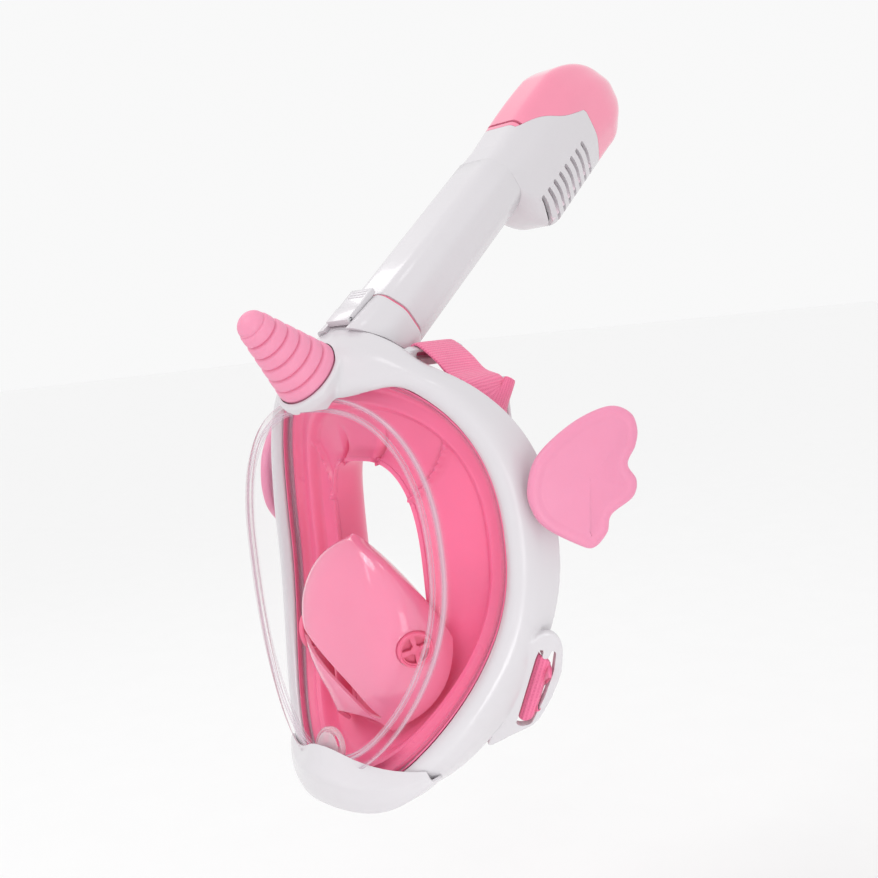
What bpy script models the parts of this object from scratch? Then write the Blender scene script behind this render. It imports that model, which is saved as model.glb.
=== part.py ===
"""A child's full face snorkel: an egg-shaped mask with a clear visor, a horn, two ears and a dry-top tube.

Dimensions are millimetres and become metres through MM. +Z is up, the visor faces -Y, and the object is
symmetric about X = 0. The origin is at the middle of the visor ring.
"""

import math

import bmesh
import bpy
import numpy as np
from mathutils import Matrix, Vector

MM = 0.001
GAP = 0.4                # running gap between neighbouring pieces

# Visor ring: an egg outline in front view, swept back at the sides
RING_HALF_WIDTH = 70.7
RING_TOP = 78.3
RING_BOTTOM = 103.2
RING_POWER = 2.40       # superellipse exponent
RING_PINCH = 0.29       # how much the chin narrows
RING_SWEEP = 32.4       # how far back the sides are
RING_TOP_SWEEP = 8.9
RING_CHIN_SWEEP = -8.2
SWEEP_REACH = 82.8
RING_STEPS = 40
BROW_THINNING = 0.42    # how much slimmer the ring is at the brow
CHIN_THINNING = 0.60
RING_SECTION = ((0, 0), (4.5, -2.6), (9.5, -1.0), (12.2, 4), (13, 12), (13, 21), (10.6, 21), (10, 11), (7, 6.5),
                (2, 5))

# Lens
PANEL_HALF_WIDTH = 63.6
PANEL_SCALE = PANEL_HALF_WIDTH / RING_HALF_WIDTH
PANEL_FRONT = -7.0
PANEL_SIDE_SWEEP = 8.0
PANEL_TOP_SWEEP = 5.0
PANEL_CHIN_SWEEP = -13.0
LENS_THICKNESS = 2.0

# Face skirt: the opening, its crest, and the sealing lip behind it
OPENING_CENTRE_Z = -20.0
OPENING_HALF_WIDTH = 27.0
OPENING_TOP = 59.0
OPENING_BOTTOM = 58.0
OPENING_POWER = 3.4
CREST_SIDE_Y = 27.0
CREST_TOP_Y = 20.0
CREST_CHIN_Y = 14.0
SKIRT_THICKNESS = 1.8

# Snorkel: F(s, x, n) runs s along the tube, x sideways and n towards the front of the tube
TUBE_BASE = (0.0, 52.7, 103.7)
TUBE_TILT = math.radians(52.4)
TUBE_HALF_WIDTH = 18.0
TUBE_HALF_DEPTH = 15.6
TUBE_WALL = 2.0
TUBE_TOP = 98.0
HEAD_REAR = -42.5       # the float housing's rear face
HEAD_END = 219.0
SEAM = -6.6              # where the tube meets the socket
SPIGOT_LENGTH = 19.0
VENT_SLOTS = 8
VENT_PITCH = 6.93
VENT_FIRST = 114.5
VENT_LEAN = 0.22
VENT_CUTTER = (14.6, 2.8, 18.7)

# Horn
HORN_BASE = (0.0, -2.6, 80.1)
HORN_TILT = math.radians(40.9)
HORN_RADIUS = 15.4
HORN_LENGTH = 40.5
HORN_STEPS = 6

# Ears lie in a plane that runs back and outwards
EAR_CORNER = (86.8, 33.4, 0.0)
EAR_AXIS = (0.555, 0.832, 0.0)
EAR_THICKNESS = 5.0
EAR_OUTLINE = ((0, 16), (-1.5, 26), (4, 39), (20, 50.5), (36, 55.5), (45, 52), (47.5, 45), (46, 38),
               (42, 31), (45.3, 24), (43, 17), (33, 11), (30.5, 4), (24, -1.5), (17, 1), (5, 9))
EAR_CROWN = ((0.93, -0.5), (1.0, -0.28), (1.0, 0.22), (0.96, 0.42), (0.80, 0.58), (0.5, 0.66))
EAR_STUD_AT = (9.0, 27.0)

# Straps
STRAP_THICKNESS = 1.6
UPPER_STRAP_WIDTH = 24.0
LOWER_STRAP_WIDTH = 22.0
UPPER_STRAP = ((20, 48, 87), (29, 48, 83), (46, 48, 74), (57, 50, 66), (58, 57.5, 59.5), (50, 66, 56), (38, 78, 53),
               (26, 87, 51), (13, 91.5, 50), (0, 93, 50))
LOWER_STRAP = ((71.5, 42.5, -61), (67, 47.5, -63), (61, 53, -65), (41, 71.5, -69), (29, 79, -70), (14, 84, -70),
               (0, 85.5, -70))

WHITE = (0.78, 0.76, 0.79, 1)
PINK = (0.95, 0.36, 0.54, 1)
HORN_PINK = (0.94, 0.33, 0.53, 1)
SKIRT_PINK = (0.90, 0.16, 0.29, 1)
CLEAR = (1, 1, 1, 1)
STEEL = (0.6, 0.6, 0.62, 1)


# ---------------------------------------------------------------- helpers

def material(name, colour, roughness, metallic=0.0, transmission=0.0):
    """A Principled BSDF material, made once for each name."""
    made = bpy.data.materials.get(name)
    if made:
        return made
    made = bpy.data.materials.new(name)
    made.use_nodes = True
    shader = made.node_tree.nodes["Principled BSDF"]
    shader.inputs["Base Color"].default_value = colour
    shader.inputs["Roughness"].default_value = roughness
    shader.inputs["Metallic"].default_value = metallic
    shader.inputs["Transmission Weight"].default_value = transmission
    made.diffuse_color = colour
    return made


def white_plastic():
    return material("white_plastic", WHITE, 0.22)


def pink_silicone():
    return material("pink_silicone", SKIRT_PINK, 0.35)


def pink_plastic():
    return material("pink_plastic", PINK, 0.2)


def build(name, points, faces, finish, origin=(0, 0, 0), smooth=35):
    """An object with its origin at a given point, its faces turned outwards."""
    mesh = bpy.data.meshes.new(name)
    start = Vector(origin)
    bm = bmesh.new()
    verts = [bm.verts.new((Vector(map(float, p)) - start) * MM) for p in points]
    for face in faces:
        bm.faces.new([verts[i] for i in face])
    bmesh.ops.recalc_face_normals(bm, faces=bm.faces)
    bm.to_mesh(mesh)
    bm.free()
    mesh.materials.append(finish)
    mesh.shade_smooth()
    mesh.set_sharp_from_angle(angle=math.radians(smooth))
    obj = bpy.data.objects.new(name, mesh)
    obj.location = start * MM
    bpy.context.scene.collection.objects.link(obj)
    return obj


def grid_faces(rows, columns, closed_rows=False, closed_columns=False, start=0):
    """Quads over a grid whose point (row, column) has the index start + row * columns + column."""
    faces = []
    for i in range(rows if closed_rows else rows - 1):
        for j in range(columns if closed_columns else columns - 1):
            k, m = (i + 1) % rows, (j + 1) % columns
            faces.append([start + a * columns + b for a, b in ((i, j), (i, m), (k, m), (k, j))])
    return faces


def loop_solid(rows):
    """A ring-shaped solid: closed sections that follow each other round a closed loop."""
    rows = np.asarray(rows, float)
    return rows.reshape(-1, 3), grid_faces(len(rows), rows.shape[1], True, True)


def loft_solid(rows):
    """A solid from closed sections, with flat ends."""
    rows = np.asarray(rows, float)
    count, around = rows.shape[:2]
    faces = grid_faces(count, around, closed_columns=True)
    faces.append(list(range(around)))
    faces.append(list(range((count - 1) * around, count * around)))
    return rows.reshape(-1, 3), faces


def shell_solid(outer, inner, closed=True, pole=False):
    """A thin wall between two grids. With a pole, the first row closes onto the middle of that row."""
    outer, inner = np.asarray(outer, float), np.asarray(inner, float)
    rows, columns = outer.shape[:2]
    half = rows * columns
    points = np.concatenate([outer.reshape(-1, 3), inner.reshape(-1, 3)])
    faces = grid_faces(rows, columns, closed_columns=closed)
    faces += grid_faces(rows, columns, closed_columns=closed, start=half)
    borders = [(rows - 1) * columns]
    if pole:
        points = np.concatenate([points, [outer[0].mean(axis=0)], [inner[0].mean(axis=0)]])
        for start, middle in ((0, 2 * half), (half, 2 * half + 1)):
            faces += [[start + j, start + (j + 1) % columns, middle] for j in range(columns)]
    else:
        borders.append(0)
    for first in borders:
        for j in range(columns if closed else columns - 1):
            a, b = first + j, first + (j + 1) % columns
            faces.append([a, b, b + half, a + half])
    if not closed:
        for j in (0, columns - 1):
            for i in range(rows - 1):
                a, b = i * columns + j, (i + 1) * columns + j
                faces.append([a, b, b + half, a + half])
    return points, faces


def offset_grid(grid, distance, closed=True):
    """The grid moved along its own normals."""
    grid = np.asarray(grid, float)
    down = np.gradient(grid, axis=0)
    if closed:
        across = (np.roll(grid, -1, axis=1) - np.roll(grid, 1, axis=1)) / 2
    else:
        across = np.gradient(grid, axis=1)
    normal = np.cross(across, down)
    normal /= np.linalg.norm(normal, axis=2, keepdims=True)
    return grid + normal * distance


def frame_of(axis):
    """Two unit vectors that make a right-handed frame with the axis."""
    w = Vector(axis).normalized()
    u = Vector((1, 0, 0)) if abs(w.x) < 0.9 else Vector((0, 1, 0))
    u = (u - w * u.dot(w)).normalized()
    return u, w.cross(u), w


def turned(name, profile, centre, axis, finish, steps=24, hollow=False):
    """A turned solid from (radius, height) pairs. A solid one starts and ends on the axis; a hollow one closes."""
    u, v, w = frame_of(axis)
    centre = Vector(centre)
    ring = [(math.cos(2 * math.pi * k / steps), math.sin(2 * math.pi * k / steps)) for k in range(steps)]
    body = profile if hollow else profile[1:-1]
    points = [centre + (u * c + v * s) * r + w * h for r, h in body for c, s in ring]
    faces = grid_faces(len(body), steps, closed_rows=hollow, closed_columns=True)
    if not hollow:
        points += [centre + w * profile[0][1], centre + w * profile[-1][1]]
        last = (len(body) - 1) * steps
        for k in range(steps):
            faces.append([k, (k + 1) % steps, len(points) - 2])
            faces.append([last + k, last + (k + 1) % steps, len(points) - 1])
    return build(name, points, faces, finish, centre)


def disc(name, radius, low, high, centre, axis, finish, steps=16):
    return turned(name, [(0, low), (radius, low), (radius, high), (0, high)], centre, axis, finish, steps)


def block(name, centre, axes, sizes, finish, origin=None):
    """A box with its own three axes. Its origin is at its centre unless another point is given."""
    centre = Vector(centre)
    sides = [Vector(a).normalized() * s / 2 for a, s in zip(axes, sizes)]
    ends = (-1, 1)
    points = [centre + sides[0] * i + sides[1] * j + sides[2] * k for i in ends for j in ends for k in ends]
    faces = [(0, 1, 3, 2), (4, 6, 7, 5), (0, 4, 5, 1), (2, 3, 7, 6), (0, 2, 6, 4), (1, 5, 7, 3)]
    return build(name, points, faces, finish, origin or centre)


def bevelled(obj, width, segments=2):
    bevel = obj.modifiers.new("Bevel", "BEVEL")
    bevel.width = width * MM
    bevel.segments = segments
    bevel.limit_method = "ANGLE"
    return obj


def combine(obj, operation, others):
    """Boolean steps on obj. The other objects are only tools."""
    for other in others:
        step = obj.modifiers.new(other.name, "BOOLEAN")
        step.operation = operation
        step.solver = "EXACT"
        step.object = other
        other.hide_render = True
        other.display_type = "WIRE"
    return obj


def smooth_line(points, count, closed=False):
    """A Catmull-Rom curve through the points, resampled evenly."""
    points = np.asarray(points, float)
    if closed:
        padded = np.concatenate([points[-1:], points, points[:2]])
    else:
        padded = np.concatenate([[2 * points[0] - points[1]], points, [2 * points[-1] - points[-2]]])
    dense = []
    for a, b, c, d in zip(padded, padded[1:], padded[2:], padded[3:]):
        for t in np.linspace(0, 1, 16, endpoint=False):
            square, cube = 2 * a - 5 * b + 4 * c - d, 3 * b - a - 3 * c + d
            dense.append(0.5 * (2 * b + (c - a) * t + square * t**2 + cube * t**3))
    dense.append(points[0] if closed else points[-1])
    dense = np.array(dense)
    length = np.concatenate([[0], np.cumsum(np.linalg.norm(np.diff(dense, axis=0), axis=1))])
    wanted = np.linspace(0, length[-1], count + 1 if closed else count)
    line = np.stack([np.interp(wanted, length, dense[:, k]) for k in range(dense.shape[1])], axis=1)
    return line[:-1] if closed else line


# ---------------------------------------------------------------- shared curves

def egg(phi, grow=0.0, scale=1.0):
    """(x, z) on the ring's inner edge at angle phi, grown outwards by some millimetres."""
    c, s = math.cos(phi), math.sin(phi)
    half = RING_HALF_WIDTH * scale + grow
    tall = (RING_TOP if s > 0 else RING_BOTTOM) * scale + grow
    x = half * math.copysign(abs(c) ** (2 / RING_POWER), c)
    z = tall * math.copysign(abs(s) ** (2 / RING_POWER), s)
    if s < 0:
        x *= 1 - RING_PINCH * abs(s) ** 1.6
    return x, z


def sweep(x, z):
    """How far back the ring lies at (x, z)."""
    up = RING_TOP_SWEEP if z > 0 else RING_CHIN_SWEEP
    return RING_SWEEP * (x / RING_HALF_WIDTH) ** 2 + up * (z / SWEEP_REACH) ** 2


def ring_point(phi, grow, back):
    """A point beside the ring's inner edge: grown outwards and moved back."""
    x, z = egg(phi)
    wide_x, wide_z = egg(phi, grow)
    return wide_x, sweep(x, z) + back, wide_z


def panel_y(x, z):
    """The lens panel's front surface."""
    up = PANEL_TOP_SWEEP * (z / RING_TOP) ** 2 if z > 0 else PANEL_CHIN_SWEEP * (z / RING_BOTTOM) ** 2
    return PANEL_FRONT + PANEL_SIDE_SWEEP * (x / PANEL_HALF_WIDTH) ** 2 + up


def opening(phi, grow=0.0):
    """(x, z) on the skirt's face opening."""
    c, s = math.cos(phi), math.sin(phi)
    tall = OPENING_TOP if s > 0 else OPENING_BOTTOM
    x = (OPENING_HALF_WIDTH + grow) * math.copysign(abs(c) ** (2 / OPENING_POWER), c)
    z = OPENING_CENTRE_Z + (tall + grow) * math.copysign(abs(s) ** (2 / OPENING_POWER), s)
    return x, z


def crest_y(phi):
    c, s = math.cos(phi), math.sin(phi)
    return CREST_SIDE_Y * c * c + (CREST_TOP_Y if s > 0 else CREST_CHIN_Y) * s * s


def skirt_front(phi, out):
    """The skirt's front wall: out is 0 at the crest and 1 next to the ring."""
    x0, z0 = opening(phi)
    x1, y1, z1 = ring_point(phi, -9, 7)
    bulge = 3.0 * math.sin(math.pi * out)
    return x0 + (x1 - x0) * out, crest_y(phi) + (y1 - crest_y(phi)) * out + bulge, z0 + (z1 - z0) * out


def F(s, x=0.0, n=0.0):
    """A point in the snorkel's own frame: s along the tube, n towards its front."""
    y = TUBE_BASE[1] + s * math.sin(TUBE_TILT) - n * math.cos(TUBE_TILT)
    z = TUBE_BASE[2] + s * math.cos(TUBE_TILT) + n * math.sin(TUBE_TILT)
    return x, y, z


TUBE_AXIS = (0.0, math.sin(TUBE_TILT), math.cos(TUBE_TILT))
TUBE_FRONT = (0.0, -math.cos(TUBE_TILT), math.sin(TUBE_TILT))
SIDEWAYS = (1.0, 0.0, 0.0)
TUBE_AXES = (SIDEWAYS, TUBE_AXIS, TUBE_FRONT)


def oval(s, half_width, top, bottom, power=2.2, steps=24):
    """A closed section of the snorkel at station s, between n = bottom and n = top."""
    middle, depth = (top + bottom) / 2, (top - bottom) / 2
    section = []
    for k in range(steps):
        a = 2 * math.pi * k / steps
        c, q = math.cos(a), math.sin(a)
        x = half_width * math.copysign(abs(c) ** (2 / power), c)
        n = middle + depth * math.copysign(abs(q) ** (2 / power), q)
        section.append(F(s, x, n))
    return section


def head_limits(s):
    """Half width, front and rear of the snorkel's head at station s."""
    front, rear, half = TUBE_HALF_DEPTH - 0.5, HEAD_REAR, TUBE_HALF_WIDTH
    if s < 124:
        t = min(1.0, (124 - s) / 26)
        rear = -TUBE_HALF_DEPTH + (HEAD_REAR + TUBE_HALF_DEPTH) * (1 - t**2) ** 0.9
    if 110 < s:
        front += 3.0 * math.sin(math.pi * min(1.0, (s - 110) / 100))
    if s > 172:
        t = min(1.0, (s - 172) / (HEAD_END - 172))
        front -= 30 * (1 - math.sqrt(1 - t**2)) + 5 * t
    if s > 192:
        t = min(1.0, (s - 192) / (HEAD_END - 192))
        rear = HEAD_REAR - 1.0 * math.sin(math.pi * t) + 22 * (1 - math.sqrt(1 - t**2))
        half = TUBE_HALF_WIDTH * (0.30 + 0.70 * math.sqrt(1 - t**2))
    return half, front, rear


def cap_seam(sine):
    """The station where the cap meets the housing, from the sine of the angle round the section."""
    if sine > 0.93:
        return 126.0
    if sine > 0.13:
        return 126.0 + (0.93 - sine) / 0.80 * 49.0
    return 175.0


def head_grid(from_station, to_station, rows, inset=0.0, steps=28, power=2.5):
    """Rows of head sections. Each limit is a function of the sine of the angle round the section."""
    grid = []
    for i in range(rows):
        row = []
        for k in range(steps):
            a = 2 * math.pi * k / steps
            c, q = math.cos(a), math.sin(a)
            s = from_station(q) + (to_station(q) - from_station(q)) * i / (rows - 1)
            half, front, rear = head_limits(s)
            middle, depth = (front + rear) / 2, (front - rear) / 2 - inset
            x = (half - inset) * math.copysign(abs(c) ** (2 / power), c)
            row.append(F(s, x, middle + depth * math.copysign(abs(q) ** (2 / power), q)))
        grid.append(row)
    return grid


# ---------------------------------------------------------------- mask

def slimness(phi):
    """The ring's width at angle phi, as a share of its full width."""
    rise = math.sin(phi)
    return 1 - BROW_THINNING * rise**2 if rise > 0 else 1 - CHIN_THINNING * rise**10


def ring_body(name):
    """The visor ring, one closed section swept round the egg."""
    rows = []
    for k in range(RING_STEPS):
        phi = 2 * math.pi * k / RING_STEPS
        slim = slimness(phi)
        depth = slim if math.sin(phi) > 0 else 1.0
        rows.append([ring_point(phi, grow * slim, back * depth) for grow, back in RING_SECTION])
    return build(name, *loop_solid(rows), white_plastic())


def visor_body():
    """The brow over the lens. Sections across X thin out towards both sides."""
    reach = 46.0
    rows = []
    for k in range(17):
        x = -reach + 2 * reach * k / 16
        t = abs(x) / reach
        fade = math.cos(t * math.pi / 2) ** 1.3
        edge = math.acos(min(1.0, abs(x) / RING_HALF_WIDTH) ** (RING_POWER / 2))
        ring_z = RING_TOP * math.sin(edge) ** (2 / RING_POWER)
        ring_y = sweep(x, ring_z)
        low_front = (ring_y + 0.5 - 13.0 * fade, ring_z + 1.0 - 14.5 * fade**1.4)
        nose = (ring_y - 1.0 - 15.0 * fade, ring_z + 5.0 - 11.0 * fade)
        brow = (ring_y + 3.0 - 12.0 * fade, ring_z + 8.5 + 3.0 * fade)
        crown = (ring_y + 8.0 - 1.0 * fade, ring_z + 10.5 + 7.5 * fade)
        landing_top = (ring_y + 12.0 - 2.0 * fade, ring_z + 10.5 + 10.0 * fade)
        landing_low = (ring_y + 16.0 + 28.0 * fade**1.6, ring_z + 10.0 - 7.4 * fade)
        under_rear = (ring_y + 15.5 + 23.0 * fade**1.6, ring_z + 9.0 - 11.5 * fade)
        under = (ring_y + 10.5, ring_z + 8.6 - 0.2 * fade)
        under_front = (ring_y + 3.7 - 8.7 * fade, ring_z + 2.9 - 13.5 * fade**1.4)
        rows.append([(x, y, z) for y, z in (low_front, nose, brow, crown, landing_top, landing_low,
                                            under_rear, under, under_front)])
    return build("visor_body", *loft_solid(rows), white_plastic())


def horn_axis():
    return 0.0, -math.cos(HORN_TILT), math.sin(HORN_TILT)


def lug(name, centre, along, across, length, width, slot_length, slot_width, thickness):
    """A flat loop with a slot for a strap."""
    along, across = Vector(along).normalized(), Vector(across).normalized()
    across = (across - along * across.dot(along)).normalized()
    axes = (along, across, along.cross(across))
    plate = bevelled(block(name, centre, axes, (length, width, thickness), white_plastic()), 1.0)
    slot = block(name + "_slot", centre, (along, across, along.cross(across)),
                 (slot_length, slot_width, 3 * thickness), white_plastic())
    return combine(plate, "DIFFERENCE", [slot])


LOWER_LUG_ALONG = (-0.42, 0.0, -0.907)
LOWER_LUG_OUT = (0.62, 0.785, 0.0)
LOWER_LUG_CENTRE = (72.6, 42.6, -61.0)
UPPER_LUG_CENTRE = (27.0, 48.0, 83.9)
UPPER_LUG_UP = (0.41, 0.0, 0.912)


def mirrored(point, side):
    return point[0] * side, point[1], point[2]


def front_frame():
    """The white front frame: ring, brow, horn cup and four strap lugs in one moulding."""
    frame = ring_body("front_frame")
    w = Vector(horn_axis())
    cup = turned("horn_cup", [(0, -16), (14, -16), (HORN_RADIUS + 2.6, -4), (HORN_RADIUS + 2.4, 0.6), (0, 0.6)],
                 HORN_BASE, w, white_plastic(), 28)
    recess = disc("horn_recess", HORN_RADIUS + GAP, -3.0, 6.0, HORN_BASE, w, white_plastic(), 32)
    tools = [visor_body(), cup]
    for side, word in ((-1, "left"), (1, "right")):
        tools.append(lug("lower_lug_" + word, mirrored(LOWER_LUG_CENTRE, side), mirrored(LOWER_LUG_ALONG, side),
                         mirrored(LOWER_LUG_OUT, side), 40, 14, 32, 8, 3.2))
        tools.append(lug("upper_lug_" + word, mirrored(UPPER_LUG_CENTRE, side), (0, 1, 0), mirrored(UPPER_LUG_UP, side),
                         36, 8.8, 26, 3.6, 4.0))
    combine(frame, "UNION", tools)
    sizes = ((0, 14.8, 12.4), (-27, 14.8, 12.4), (-27.3, 12, 9), (-75, 12, 9))
    rows = [oval(s, half, deep, -deep) for s, half, deep in sizes]
    bore = build("air_way", *loft_solid(rows), white_plastic())
    stud_hole = disc("horn_stud_hole", 3.2, -9, 1, HORN_BASE, w, white_plastic(), 16)
    return combine(frame, "DIFFERENCE", [recess, bore, stud_hole, lens_block("lens_room")])


def lens_rows():
    """The lens's outer surface, from near its middle to its rim behind the ring's edge."""
    outer = []
    for part in (0.12, 0.35, 0.6, 0.82, 0.94):
        row = []
        for k in range(RING_STEPS):
            x, z = egg(2 * math.pi * k / RING_STEPS, scale=PANEL_SCALE * part)
            row.append((x, panel_y(x, z), z))
        outer.append(row)
    for part, drop in ((0.985, 0.05), (1.0, 0.16)):
        row = []
        for k in range(RING_STEPS):
            phi = 2 * math.pi * k / RING_STEPS
            x, z = egg(phi, scale=PANEL_SCALE * part)
            rim = ring_point(phi, -1.2, 3)
            y = panel_y(x, z)
            row.append((x, y + (rim[1] - y) * drop, z))
        outer.append(row)
    outer.append([ring_point(2 * math.pi * k / RING_STEPS, -1.0, 4.0) for k in range(RING_STEPS)])
    return np.array(outer)


def behind(grid, distance, closed=True):
    """The grid offset along its normals towards +Y, or towards -Y when the distance is negative."""
    moved = offset_grid(grid, distance, closed)
    if (moved[:, :, 1].mean() - np.asarray(grid)[:, :, 1].mean()) * distance < 0:
        moved = offset_grid(grid, -distance, closed)
    return moved


def lens_block(name):
    """The room that the lens takes up, as one solid with a running gap round it."""
    rows = behind(lens_rows(), -GAP)
    rows = np.concatenate([rows, rows[-1:] + np.array([0, 4, 0])])
    middle = rows[0].mean(axis=0)
    points, faces = loft_solid(rows)
    points = np.concatenate([points, [middle]])
    around = rows.shape[1]
    faces[-2] = [0, 1, len(points) - 1]
    faces += [[j, (j + 1) % around, len(points) - 1] for j in range(1, around)]
    return build(name, points, faces, white_plastic())


def lens():
    """The clear lens: a flat-fronted panel with a deep side wall."""
    outer = lens_rows()
    inner = behind(outer, LENS_THICKNESS)
    clear = material("clear_lens", CLEAR, 0.03, transmission=1.0)
    made = build("lens", *shell_solid(outer, inner, pole=True), clear)
    hole = disc("purge_hole", PURGE_RADIUS + GAP, -12, 12, PURGE_CENTRE, PURGE_AXIS, clear)
    return combine(made, "DIFFERENCE", [hole])


VALVE_RADIUS = 8.0
PURGE_RADIUS = 9.0
PURGE_CENTRE = (0.0, panel_y(0, -82) + 1.0, -82.0)
PURGE_AXIS = (0.0, -1.0, 0.22)


def face_skirt():
    """The silicone skirt: flange behind the lens, front wall, crest round the opening, and lip on the face."""
    outer = []
    angles = [2 * math.pi * k / RING_STEPS for k in range(RING_STEPS)]
    outer.append([ring_point(phi, 6.0 * slimness(phi) ** 1.5, 11.0) for phi in angles])
    for grow, back in ((-2.5, 9.0), (-9.0, 7.0)):
        outer.append([ring_point(phi, grow, back) for phi in angles])
    for out in (0.66, 0.33, 0.0):
        outer.append([skirt_front(phi, out) for phi in angles])
    for grow, back in ((0.5, 15.0), (6.0, 24.0), (16.0, 31.0), (25.0, 32.5)):
        row = []
        for phi in angles:
            low = max(0.0, -math.sin(phi))
            x, z = opening(phi, grow * (1 - 0.5 * low))
            row.append((x, crest_y(phi) + back * (1 - 0.15 * low), z))
        outer.append(row)
    inner = offset_grid(outer, SKIRT_THICKNESS)
    if inner[4, :, 1].mean() < np.array(outer)[4, :, 1].mean():
        inner = offset_grid(outer, -SKIRT_THICKNESS)
    return build("face_skirt", *shell_solid(outer, inner), pink_silicone())


def pocket_point(u, v):
    """The oral-nasal pocket's outer surface. u runs across it, and v down it."""
    side = 1 if u >= 0 else -1
    phi = math.radians(-14 - 58 * v)
    x, y, z = skirt_front(phi, 0.30)
    y -= 2.4
    x += 6.5 * math.sin(math.pi * min(1.0, v + 0.15))
    front_y = np.interp(v, (0, 0.1, 0.3, 0.6, 1), (12.5, 7.5, 1.0, -1.6, 1.0))
    front_z = np.interp(v, (0, 0.1, 0.3, 0.6, 1), (7.5, 4.0, -12, -42, -72))
    power = 2 / (1.35 + 3.2 * min(1.0, 2 * v))
    across, lift = math.sin(abs(u) * math.pi / 2) ** power, math.cos(abs(u) * math.pi / 2) ** power
    return x * across * side, y + (front_y - y) * lift, z + (front_z - z) * lift


def valve_site(side):
    """Centre and outward normal of the inhale valve on one side of the pocket."""
    u, v, step = 0.80 * side, 0.40, 0.02
    centre = Vector(pocket_point(u, v))
    across = Vector(pocket_point(u + step * side, v)) - centre
    down = Vector(pocket_point(u, v + step)) - centre
    normal = across.cross(down).normalized()
    if normal.y > 0:
        normal = -normal
    return centre, normal


def nose_pocket():
    rows, columns = 9, 17
    turns = [-1 + 2 * j / (columns - 1) for j in range(columns)]
    outer = [[pocket_point(u, i / (rows - 1)) for u in turns] for i in range(rows)]
    inner = behind(outer, 1.6, closed=False)
    pink = material("pocket_silicone", PINK, 0.12)
    made = build("nose_pocket", *shell_solid(outer, inner, closed=False), pink)
    holes = []
    for side, word in ((-1, "left"), (1, "right")):
        centre, normal = valve_site(side)
        holes.append(disc("valve_hole_" + word, VALVE_RADIUS + GAP, -7, 7, centre, normal, pink_silicone()))
    return combine(made, "DIFFERENCE", holes)


def spoked_seat(name, centre, axis, radius, finish):
    """A valve seat: a thin disc with four sector holes left between its spokes."""
    seat = disc(name, radius, -1.2, 1.2, centre, axis, finish)
    u, v, w = frame_of(axis)
    windows = []
    for k in range(4):
        a = math.pi / 4 + k * math.pi / 2
        middle = Vector(centre) + (u * math.cos(a) + v * math.sin(a)) * radius * 0.52
        windows.append(disc("%s_window_%d" % (name, k), radius * 0.27, -4, 4, middle, axis, finish, 8))
    return combine(seat, "DIFFERENCE", windows)


def valves():
    for side, word in ((-1, "left"), (1, "right")):
        centre, normal = valve_site(side)
        spoked_seat("inhale_seat_" + word, centre, normal, VALVE_RADIUS, pink_silicone())
        disc("inhale_flap_" + word, VALVE_RADIUS - 1.2, -2.3, -1.2 - GAP, centre, normal, pink_silicone())
    clear = material("clear_seat", CLEAR, 0.1, transmission=0.6)
    spoked_seat("purge_seat", PURGE_CENTRE, PURGE_AXIS, PURGE_RADIUS, clear)
    disc("purge_flap", PURGE_RADIUS - 2.2, 1.2 + GAP, 2.1, PURGE_CENTRE, PURGE_AXIS, pink_silicone())


CHIN_COVER_REACH = math.radians(40)


def chin_cover():
    """The chin cover: a shell in front of the purge valve that wraps under the ring and tapers to both sides."""
    columns = 17
    outer = []
    for t in (0.0, 0.25, 0.5, 0.75, 1.0, 1.2, 1.6, 2.0):
        row = []
        for j in range(columns):
            u = -1 + 2 * j / (columns - 1)
            phi = -math.pi / 2 + u * CHIN_COVER_REACH
            x, z = egg(phi)
            middle = 1 - abs(u) ** 2.2
            lowest = 13.0 * slimness(phi) + 2.4
            if t <= 1:
                grow = lowest - 1.2 - (4.0 + 24.0 * middle) * (1 - t)
                back = -5.0 - 5.2 * middle * math.sin(math.pi * (0.12 + 0.88 * t))
            else:
                grow = lowest
                back = -3.6 + (6 + 6 * middle) * (t - 1.2) / 0.8
            wide_x, wide_z = egg(phi, grow)
            row.append((wide_x, sweep(x, z) + back, wide_z))
        outer.append(row)
    inner = offset_grid(outer, 1.8, closed=False)
    if inner[3, columns // 2, 1] < outer[3][columns // 2][1]:
        inner = offset_grid(outer, -1.8, closed=False)
    cover = build("chin_cover", *shell_solid(outer, inner, closed=False), white_plastic())
    return combine(cover, "DIFFERENCE", [lens_block("lens_room_below")])


def horn():
    """The stepped horn: each ring swells a little over the next one."""
    profile = [(0, -2.4)]
    profile.append((HORN_RADIUS - 0.3, -2.4))
    for k in range(HORN_STEPS):
        low, high = k / HORN_STEPS * 0.86, (k + 1) / HORN_STEPS * 0.86
        profile.append((HORN_RADIUS * (1 - 0.66 * low) - 0.9, HORN_LENGTH * low + 0.3))
        profile.append((HORN_RADIUS * (1 - 0.66 * low) - 0.1, HORN_LENGTH * low + 1.5))
        profile.append((HORN_RADIUS * (1 - 0.66 * high) + 0.5, HORN_LENGTH * high - 0.9))
    top = 0.86 * HORN_LENGTH
    radius = HORN_RADIUS * (1 - 0.66 * 0.86)
    for a in (0, 30, 55, 75):
        a = math.radians(a)
        profile.append((radius * math.cos(a), top + (HORN_LENGTH - top) * math.sin(a)))
    profile.append((0, HORN_LENGTH))
    made = turned("horn", profile, HORN_BASE, horn_axis(), material("horn_silicone", HORN_PINK, 0.45), 20)
    hole = disc("horn_socket", 2.9, -5, 11, HORN_BASE, horn_axis(), white_plastic(), 16)
    disc("horn_stud", 2.5, -8.6, 10.5, HORN_BASE, horn_axis(), white_plastic(), 16)
    return combine(made, "DIFFERENCE", [hole])


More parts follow.
